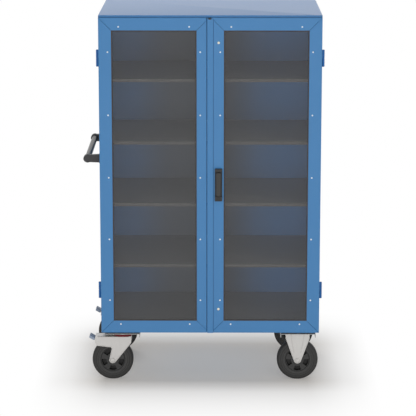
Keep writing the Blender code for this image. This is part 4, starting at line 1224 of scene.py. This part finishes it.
# Castor forks
# Pressed from thick sheet: two tapering legs with rolled edges, joined over the wheel. The left pair swivel.
# The right pair are fixed and one with their plate, with two pressed ribs on each leg and a riveted axle.
fork_sheet = 0.004
fork_end_radius = 0.0165
fork_round = 0.0010
bead_radius = 0.0026
bead_spacing = 0.004
rolled_in, rolled_centre_share = 0.03, 1.5
hood_share, hood_low_share = 1.88, 1.75
waist_shares = ((0.5, 1.66), (0.14, 1.58))
crown_gap = 0.0003
crown_corner, crown_edge = 0.012, 0.0012
fixed_leg_half_length = 0.058
fixed_leg_half_width = 0.0286
crown_drop = 0.026
rib_radius, rib_spacing = 0.00208, 0.006
rib_top, rib_bend, rib_foot = (-0.031, -0.006), (-0.030, -0.034), (-0.016, 0.036)
axle_radius = 0.006
axle_nut_across = 0.018
rivet_height = 0.0058


def circle_arc(centre, radius, first, last, steps):
    """Points along an arc between two angles in degrees."""
    angles = np.radians(np.linspace(first, last, steps + 1))
    return np.stack([centre[0] + radius * np.cos(angles), centre[1] + radius * np.sin(angles)], axis=-1)


def bead_along(path, y, radius):
    """A round bead carried along an open path of X and Z: a circle across its direction at every point."""
    side, deep = superellipse(2, 8) * radius
    normal = path_normals(path)
    x, z = (path[:, [i]] + normal[:, [i]] * side for i in (0, 1))
    return ring_shell(placed(x, z, y + deep, "Y"))


def even_path(points, spacing):
    """The same path with points at an even spacing along its length."""
    points = np.asarray(points, dtype=float)
    length = np.concatenate([[0], np.cumsum(np.linalg.norm(np.diff(points, axis=0), axis=1))])
    stations = np.linspace(0, length[-1], max(int(length[-1] / spacing), 2) + 1)
    return np.stack([np.interp(stations, length, points[:, i]) for i in (0, 1)], axis=-1)


def fork_legs(outline, lower_edge, axle_x, middle_y, half):
    """Two legs of sheet cut to an outline of X and Z, with a bead rolled along their lower edge."""
    rolled = even_path(lower_edge, bead_spacing)
    rolled = rolled + (np.array([axle_x, wheel_z * rolled_centre_share]) - rolled) * rolled_in
    shells = []
    for side in (-1, 1):
        outer_y = middle_y + side * half
        shells.append(swept_section(outline, "Y", outer_y, outer_y - side * fork_sheet))
        shells.append(bead_along(rolled, outer_y - side * bead_radius / 4, bead_radius))
    return shells


swivel_axle_x, _, wheel_z = sum(box("front_left_tyre")) / 2
fixed_axle_x = sum(box("front_right_tyre"))[0] / 2
for end_word in ("front", "rear"):
    fork_low, fork_high = box(end_word + "_left_fork")
    crown_top = box(end_word + "_left_seal_ring")[0][2] - crown_gap
    left_edge = [(fork_low[0] + fork_sheet, crown_top), (fork_low[0], wheel_z * hood_share)]
    left_edge += [(fork_low[0] + 2 * fork_sheet, wheel_z * hood_low_share)]
    left_edge += [(swivel_axle_x - back * fork_end_radius, wheel_z * level) for back, level in waist_shares]
    tip = circle_arc((swivel_axle_x, wheel_z), fork_end_radius, 195, 320, 14)
    right_edge = [(fork_high[0], wheel_z * hood_share), (fork_high[0], crown_top)]
    outline = np.concatenate([left_edge, tip, right_edge])
    leg_half = (fork_high[1] - fork_low[1]) / 2
    shells = fork_legs(outline, outline[2:-1], swivel_axle_x, castor_ys[end_word], leg_half)
    crown_low = (fork_low[0] + fork_sheet, fork_low[1], crown_top - fork_sheet)
    crown_high = (fork_high[0], fork_high[1], crown_top)
    shells.append(rounded_block(crown_low, crown_high, "Z", crown_corner, crown_edge))
    fork = make_piece(end_word + "_left_pressed_fork", shells, fork_zinc)
    broken_edges(fork, "pressed_edges", fork_round, 2, 60)
    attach(fork, end_word + "_left_castor")
    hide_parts(end_word + "_left_fork")

    fixed_low, fixed_high = box(end_word + "_right_fork")
    fixed_middle = (fixed_low[1] + fixed_high[1]) / 2
    plate_bottom = fixed_high[2] - plate_sheet
    flip, shift = np.array([-1, 1]), np.array([2 * fixed_axle_x, 0])
    left_x = fixed_axle_x - fixed_leg_half_length
    left_edge = np.array([(left_x, plate_bottom), (left_x, plate_bottom - crown_drop)])
    tip = circle_arc((fixed_axle_x, wheel_z), fork_end_radius, 200, 340, 14)
    outline = np.concatenate([left_edge, tip, left_edge[::-1] * flip + shift])
    leg_half = fixed_leg_half_width + fork_sheet
    shells = fork_legs(outline, outline[1:-1], fixed_axle_x, fixed_middle, leg_half)
    rib = [(fixed_axle_x + x, plate_bottom + z) for x, z in (rib_top, rib_bend)]
    rib = even_path([*rib, (fixed_axle_x + rib_foot[0], wheel_z + rib_foot[1])], rib_spacing)
    for leg_side in (-1, 1):
        outer_y = fixed_middle + leg_side * leg_half
        shells += [bead_along(path, outer_y, rib_radius) for path in (rib, rib * flip + shift)]
        rivet = (fixed_axle_x, outer_y, wheel_z)
        shells.append(hexagon_head(rivet, "Y", leg_side, axle_nut_across, rivet_height))
    plate_low = (fixed_axle_x - plate_length / 2, fixed_middle - plate_width / 2, plate_bottom)
    plate_high = (fixed_axle_x + plate_length / 2, fixed_middle + plate_width / 2, fixed_high[2])
    shells += bolted_plate(plate_low, plate_high)
    shaft_rows = [(axle_radius, -leg_half), (axle_radius, leg_half)]
    shells.append(ring_shell(circle_rings(shaft_rows, "Y", (fixed_axle_x, fixed_middle, wheel_z), 24)))
    fixed_fork = make_piece(end_word + "_right_pressed_fork", shells, fork_zinc)
    broken_edges(fixed_fork, "pressed_edges", fork_round, 2, 60)
    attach(fixed_fork, "cabinet")
    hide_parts(end_word + "_right_fork")


# Swivel seals
# Dark red moulded rings that keep dirt out of the ball race, turned with the fork.
red_colours = ((0.165, 0.013, 0.020), (0.130, 0.011, 0.016))
ring_bore = 0.030
ring_foot = ((0.003, 0.0), (0.0008, 0.001), (0.0, 0.003))
ring_top = ((0.0006, 0.004), (0.0025, 0.0012), (0.006, 0.0))
seal_plastic = moulded_plastic("red_seal_plastic", red_colours, 0.40)
for end_word in ("front", "rear"):
    ring_low, ring_high = box(end_word + "_left_seal_ring")
    ring_radius = (ring_high[0] - ring_low[0]) / 2
    ring_rows = [(ring_bore, ring_low[2])]
    ring_rows += [(ring_radius - inset, ring_low[2] + up) for inset, up in ring_foot]
    ring_rows += [(ring_radius - inset, ring_high[2] - down) for inset, down in ring_top]
    ring_rows += [(ring_bore, ring_high[2])]
    ring_centre = (*(ring_low + ring_high)[:2] / 2, 0)
    ring_skin = ring_shell(circle_rings(ring_rows, "Z", ring_centre, 64), closed=True)
    seal = make_piece(end_word + "_left_seal_moulding", [ring_skin], seal_plastic)
    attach(seal, end_word + "_left_castor")
    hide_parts(end_word + "_left_seal_ring")


# Axles of the swivel castors
# A zinc-plated bolt across the fork with a hexagon head and a lock nut.
nut_height = 0.006
thread_rows = ((0.0055, 0.001), (0.0055, 0.0003), (0.0045, 0.0))
for end_word in ("front", "rear"):
    axle_low, axle_high = box(end_word + "_left_axle")
    axle_centre, axle_half = (axle_low + axle_high) / 2, (axle_high[1] - axle_low[1]) / 2
    shaft_rows = [(axle_radius, nut_height - axle_half), (axle_radius, axle_half - nut_height)]
    shells = [ring_shell(circle_rings(shaft_rows, "Y", axle_centre, 24))]
    for nut_side in (-1, 1):
        seat = axle_centre + [0, nut_side * (axle_half - nut_height), 0]
        shells.append(hexagon_head(seat, "Y", nut_side, axle_nut_across, nut_height))
        end_rows = [(radius, nut_side * (axle_half - inside)) for radius, inside in thread_rows]
        shells.append(ring_shell(circle_rings(end_rows, "Y", axle_centre, 20)))
    axle = make_piece(end_word + "_left_axle_bolt", shells, fork_zinc)
    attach(axle, end_word + "_left_castor")
    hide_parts(end_word + "_left_axle")


# Brake pedals
# A blue-grey moulded tread on a steel arm, hinged in the fork over the wheel and pressed down by foot.
pedal_colours = ((0.30, 0.36, 0.46), (0.26, 0.31, 0.40))
pedal_tilt = math.radians(30)
pedal_hinge = (-0.058, 0.098)
pedal_end = (-0.112, 0.68)
pad_length, pad_half_thick, pad_corner = 0.028, 0.006, 0.003
pad_end_rows = ((0.20, -1), (0.06, -0.985), (0, -0.96), (0, 0.96), (0.06, 0.985), (0.20, 1))
rib_places = np.linspace(-0.38, 0.38, 5)
rib_height, rib_round, rib_half_share = 0.0057, 0.0012, 0.82
arm_share, arm_bend, arm_drop = 0.42, 0.014, 0.004
arm_sheet, arm_fold = 0.005, 0.006
arm_near, arm_far = 0.010, 0.024
barrel_radius, barrel_end_radius, barrel_chamfer = 0.007, 0.0058, 0.001
pedal_plastic = moulded_plastic("pedal_plastic", pedal_colours, 0.5)
outward = np.array([-math.cos(pedal_tilt), math.sin(pedal_tilt)])
upward = np.array([math.sin(pedal_tilt), math.cos(pedal_tilt)])
hinge_point = np.array([swivel_axle_x + pedal_hinge[0], wheel_z + pedal_hinge[1]])
pad_end = np.array([swivel_axle_x + pedal_end[0], hinge_point[1] + pedal_end[1] * pad_length])
pad_middle = pad_end - outward * pad_length / 2
for end_word in ("front", "rear"):
    pedal_low, pedal_high = box(end_word + "_left_brake_pedal")
    middle_y, pad_half = castor_ys[end_word], (pedal_high[1] - pedal_low[1]) / 2
    pad_outline = rounded_ring(pad_length / 2, pad_half_thick, pad_corner, 0, "Z", (0, 0, 0))
    pad_points = pad_middle + pad_outline[:, :1] * outward + pad_outline[:, 1:2] * upward
    pad_rings = [
        placed(*(pad_points + (pad_middle - pad_points) * shrink).T, middle_y + share * pad_half, "Y")
        for shrink, share in pad_end_rows
    ]
    shells = [ring_shell(pad_rings)]
    rib_half = pad_half * rib_half_share
    for rib_place in rib_places:
        rib_centre = pad_middle + outward * rib_place * pad_length + upward * rib_height
        rib_section = circle_arc(rib_centre, rib_round, 0, 330, 11)
        shells.append(swept_section(rib_section, "Y", middle_y - rib_half, middle_y + rib_half))
    pad = make_piece(end_word + "_left_pedal_tread", shells, pedal_plastic, 40)
    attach(pad, end_word + "_left_pedal")
    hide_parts(end_word + "_left_brake_pedal")
    arm_line = [pad_middle - outward * pad_length * arm_share, hinge_point + [-arm_bend, -arm_drop]]
    arm_section = folded_strip([*arm_line, hinge_point + [0.0, -arm_drop]], arm_sheet, arm_fold)
    shells = [
        swept_section(arm_section, "Y", middle_y + arm_side * arm_near, middle_y + arm_side * arm_far)
        for arm_side in (-1, 1)
    ]
    barrel_rows = [(barrel_end_radius, -pad_half), (barrel_radius, -pad_half + barrel_chamfer)]
    barrel_rows += [(radius, -along) for radius, along in reversed(barrel_rows)]
    barrel_centre = (hinge_point[0], middle_y, hinge_point[1])
    shells.append(ring_shell(circle_rings(barrel_rows, "Y", barrel_centre, 24)))
    arm = make_piece(end_word + "_left_pedal_arm", shells, fork_zinc)
    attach(arm, end_word + "_left_pedal")


# Tyres
# Solid black rubber, moulded on the rim, with ringed sides, round shoulders and two grooves in the tread.
rubber_colours = ((0.045, 0.045, 0.045), (0.056, 0.056, 0.055))
rubber_bloom = (25.0, 4.0)
rubber_gloss = (0.55, 0.72)
rubber_grain = (900.0, 2.0, 0.00008)
# Tone by distance from the wheel's centre: painted highlights on the sidewall's rings and painted shade
# beside them, at the seat on the rim and at the tread.
sidewall_painted_light_rings = [
    (0.0560, 0.40), (0.0605, 0.86), (0.0650, 1.06), (0.0700, 0.98), (0.0726, 0.58), (0.0748, 0.92),
    (0.0790, 0.84), (0.0812, 0.44), (0.0835, 0.76), (0.0880, 0.78), (0.0925, 0.56), (0.1000, 0.48),
]
rim_gap = 0.0003
bead_rows = ((0.0, 0.005), (0.0015, 0.0028), (0.0035, 0.0016))
side_from_seat, side_from_tread = 0.006, 0.014
side_inside, swell_depth, swell_share = 0.0012, 0.0022 / 0.42, 0.35
wall_ring_height, wall_ring_width = 0.0014, 0.0016
ring_from_seat, ring_from_tread = 0.012, 0.018
shoulder_round, shoulder_inside = 0.0122, (0.0132, 0.0142)
tread_edge, tread_crown = 0.012, 0.0009
tread_groove, groove_from_middle, groove_width = 0.0010, 0.0075, 0.0009


def rubber_finish(name, centre):
    """Moulded rubber: dull, with slow grey bloom, a fine grain, and rings of painted highlight and shade
    round the wheel's sides.
    """
    values = {"Metallic": 0.0, "Specular_IOR_Level": 0.35}
    gloss = (*rubber_bloom, *rubber_gloss)
    rubber = mottled(name, rubber_colours, rubber_bloom, gloss, rubber_grain, **values)
    return graded(rubber, centre, "XZ", sidewall_painted_light_rings)


def tyre_profile(inner, outer, half):
    """Half of the tyre's profile from its seat on the rim to the middle of the tread, then its mirror image.

    The sidewall swells to full width, carries two raised rings, each exp(-x^2), and turns through a round
    shoulder into a tread that is crowned by a cosine and has a groove on each side, again exp(-x^2).
    """
    bead = [(inner + out, half - inside) for out, inside in bead_rows]
    side_radius = np.linspace(inner + side_from_seat, outer - side_from_tread, 26)
    share = (side_radius - inner) / (outer - inner)
    swell = half - side_inside - swell_depth * (share - swell_share) ** 2
    for ring_place in (inner + ring_from_seat, outer - ring_from_tread):
        swell += wall_ring_height * np.exp(-(((side_radius - ring_place) / wall_ring_width) ** 2))
    side = np.stack([side_radius, swell], axis=-1)
    turn = np.radians(np.linspace(8, 78, 9))
    shoulder = shoulder_round * np.stack([np.sin(turn), np.cos(turn)], axis=-1)
    shoulder += [outer - shoulder_inside[0], half - shoulder_inside[1]]
    tread_y = np.linspace(half - tread_edge, 0, 14)
    crown = outer - tread_crown * (1 - np.cos(math.pi * tread_y / (2 * half)))
    groove = tread_groove * np.exp(-(((tread_y - groove_from_middle) / groove_width) ** 2))
    one_side = np.concatenate([bead, side, shoulder, np.stack([crown - groove, tread_y], axis=-1)])
    return np.concatenate([one_side, one_side[-2::-1] * [1, -1]])


for wheel_name in ("front_left", "rear_left", "front_right", "rear_right"):
    tyre_low, tyre_high = box(wheel_name + "_tyre")
    rim_low, rim_high = box(wheel_name + "_rim")
    tyre_centre, (_, tyre_half, tyre_radius) = (tyre_low + tyre_high) / 2, (tyre_high - tyre_low) / 2
    rows = tyre_profile((rim_high[2] - rim_low[2]) / 2 + rim_gap, tyre_radius, tyre_half)
    tyre_skin = ring_shell(circle_rings(rows, "Y", tyre_centre, 96), closed=True)
    rubber = rubber_finish(wheel_name + "_tyre_rubber", tyre_centre)
    tyre = make_piece(wheel_name + "_rubber_tyre", [tyre_skin], rubber, 40)
    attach(tyre, wheel_name + "_wheel")
    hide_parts(wheel_name + "_tyre")


# Rims
# Black nylon discs with a hub and five moulded pockets on each side, turning on the axle.
rim_colours = ((0.027, 0.027, 0.027), (0.035, 0.035, 0.035))
rim_roughness = 0.5
rim_bore, rim_bore_edge = 0.0063, 0.001
hub_radius, hub_chamfer, hub_foot = 0.0155, 0.002, 0.0178
web_dish, web_dish_depth = 0.022, 0.0008
web_radii = (0.0280, 0.0317, 0.0334, 0.0365, 0.0460, 0.0518, 0.0532, 0.0545)
rim_edge_inside, rim_web_inside = 0.005, 0.006
rim_edge_width, rim_edge_drop = 0.0012, 0.0008
pocket_count = 5
pocket_half_degrees = 20
pocket_wall_degrees = 2.0
pocket_inner, pocket_outer = 0.0325, 0.0535
pocket_wall = 0.0012
pocket_depth = 0.015
pocket_dark, pocket_dark_from, pocket_light_from = 0.10, 0.010, 0.0065


def rim_nylon(name, centre, face_half):
    """Moulded nylon that darkens with depth under the wheel's face, as the pockets hold no light."""
    values = {"Metallic": 0.0, "Roughness": rim_roughness}
    nylon = mottled(name, rim_colours, plastic_clouds, None, plastic_grain, **values)
    depths = [(0.0, pocket_dark), (face_half - pocket_dark_from, pocket_dark)]
    depths += [(face_half - pocket_light_from, 1.0), (face_half, 1.0)]
    return graded(nylon, centre, "Y", depths)


def pocketed_rim(seat, hub_half, edge_half, web_half, centre, steps=180):
    """A rim on a polar grid: a half width for every radius, less a pocket wherever the angle falls in one.

    The pocket's depth is the product of two smooth steps, one across its radius and one across its angle.
    """
    rows = [(rim_bore, hub_half - rim_bore_edge), (rim_bore, hub_half), (hub_radius, hub_half)]
    rows += [(hub_radius + hub_chamfer, hub_half - hub_chamfer), (hub_foot, web_half)]
    rows += [(web_dish, web_half - web_dish_depth), *((radius, web_half) for radius in web_radii)]
    rows += [(seat - rim_edge_width, edge_half), (seat, edge_half - rim_edge_drop)]
    radius, width = np.array(rows).T[..., None]
    angle = np.linspace(0, 2 * math.pi, steps, endpoint=False)
    spacing = 360 / pocket_count
    turned_degrees = (np.degrees(angle) + 90 + spacing / 2) % spacing - spacing / 2
    inside_angle = np.clip((pocket_half_degrees - np.abs(turned_degrees)) / pocket_wall_degrees, 0, 1)
    inside_radius = np.clip((radius - pocket_inner) / pocket_wall + 1 / 3, 0, 1)
    inside_radius = inside_radius * np.clip((pocket_outer - radius) / pocket_wall + 1 / 3, 0, 1)
    half = width - pocket_depth * inside_radius * inside_angle
    a, b = radius * np.cos(angle), radius * np.sin(angle)
    front, back = (placed(a, b, side * half, "Y", centre) for side in (-1, 1))
    return ring_shell(np.concatenate([front, back[::-1]]), closed=True)


for wheel_name in ("front_left", "rear_left", "front_right", "rear_right"):
    rim_low, rim_high = box(wheel_name + "_rim")
    tyre_low, tyre_high = box(wheel_name + "_tyre")
    rim_centre, (_, hub_half, rim_seat) = (rim_low + rim_high) / 2, (rim_high - rim_low) / 2
    tyre_half = (tyre_high[1] - tyre_low[1]) / 2
    halves = (hub_half, tyre_half - rim_edge_inside, tyre_half - rim_web_inside)
    rim_skin = pocketed_rim(rim_seat, *halves, rim_centre)
    nylon = rim_nylon(wheel_name + "_rim_nylon", rim_centre, tyre_half)
    rim = make_piece(wheel_name + "_nylon_rim", [rim_skin], nylon, 35)
    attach(rim, wheel_name + "_wheel")
    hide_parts(wheel_name + "_rim")
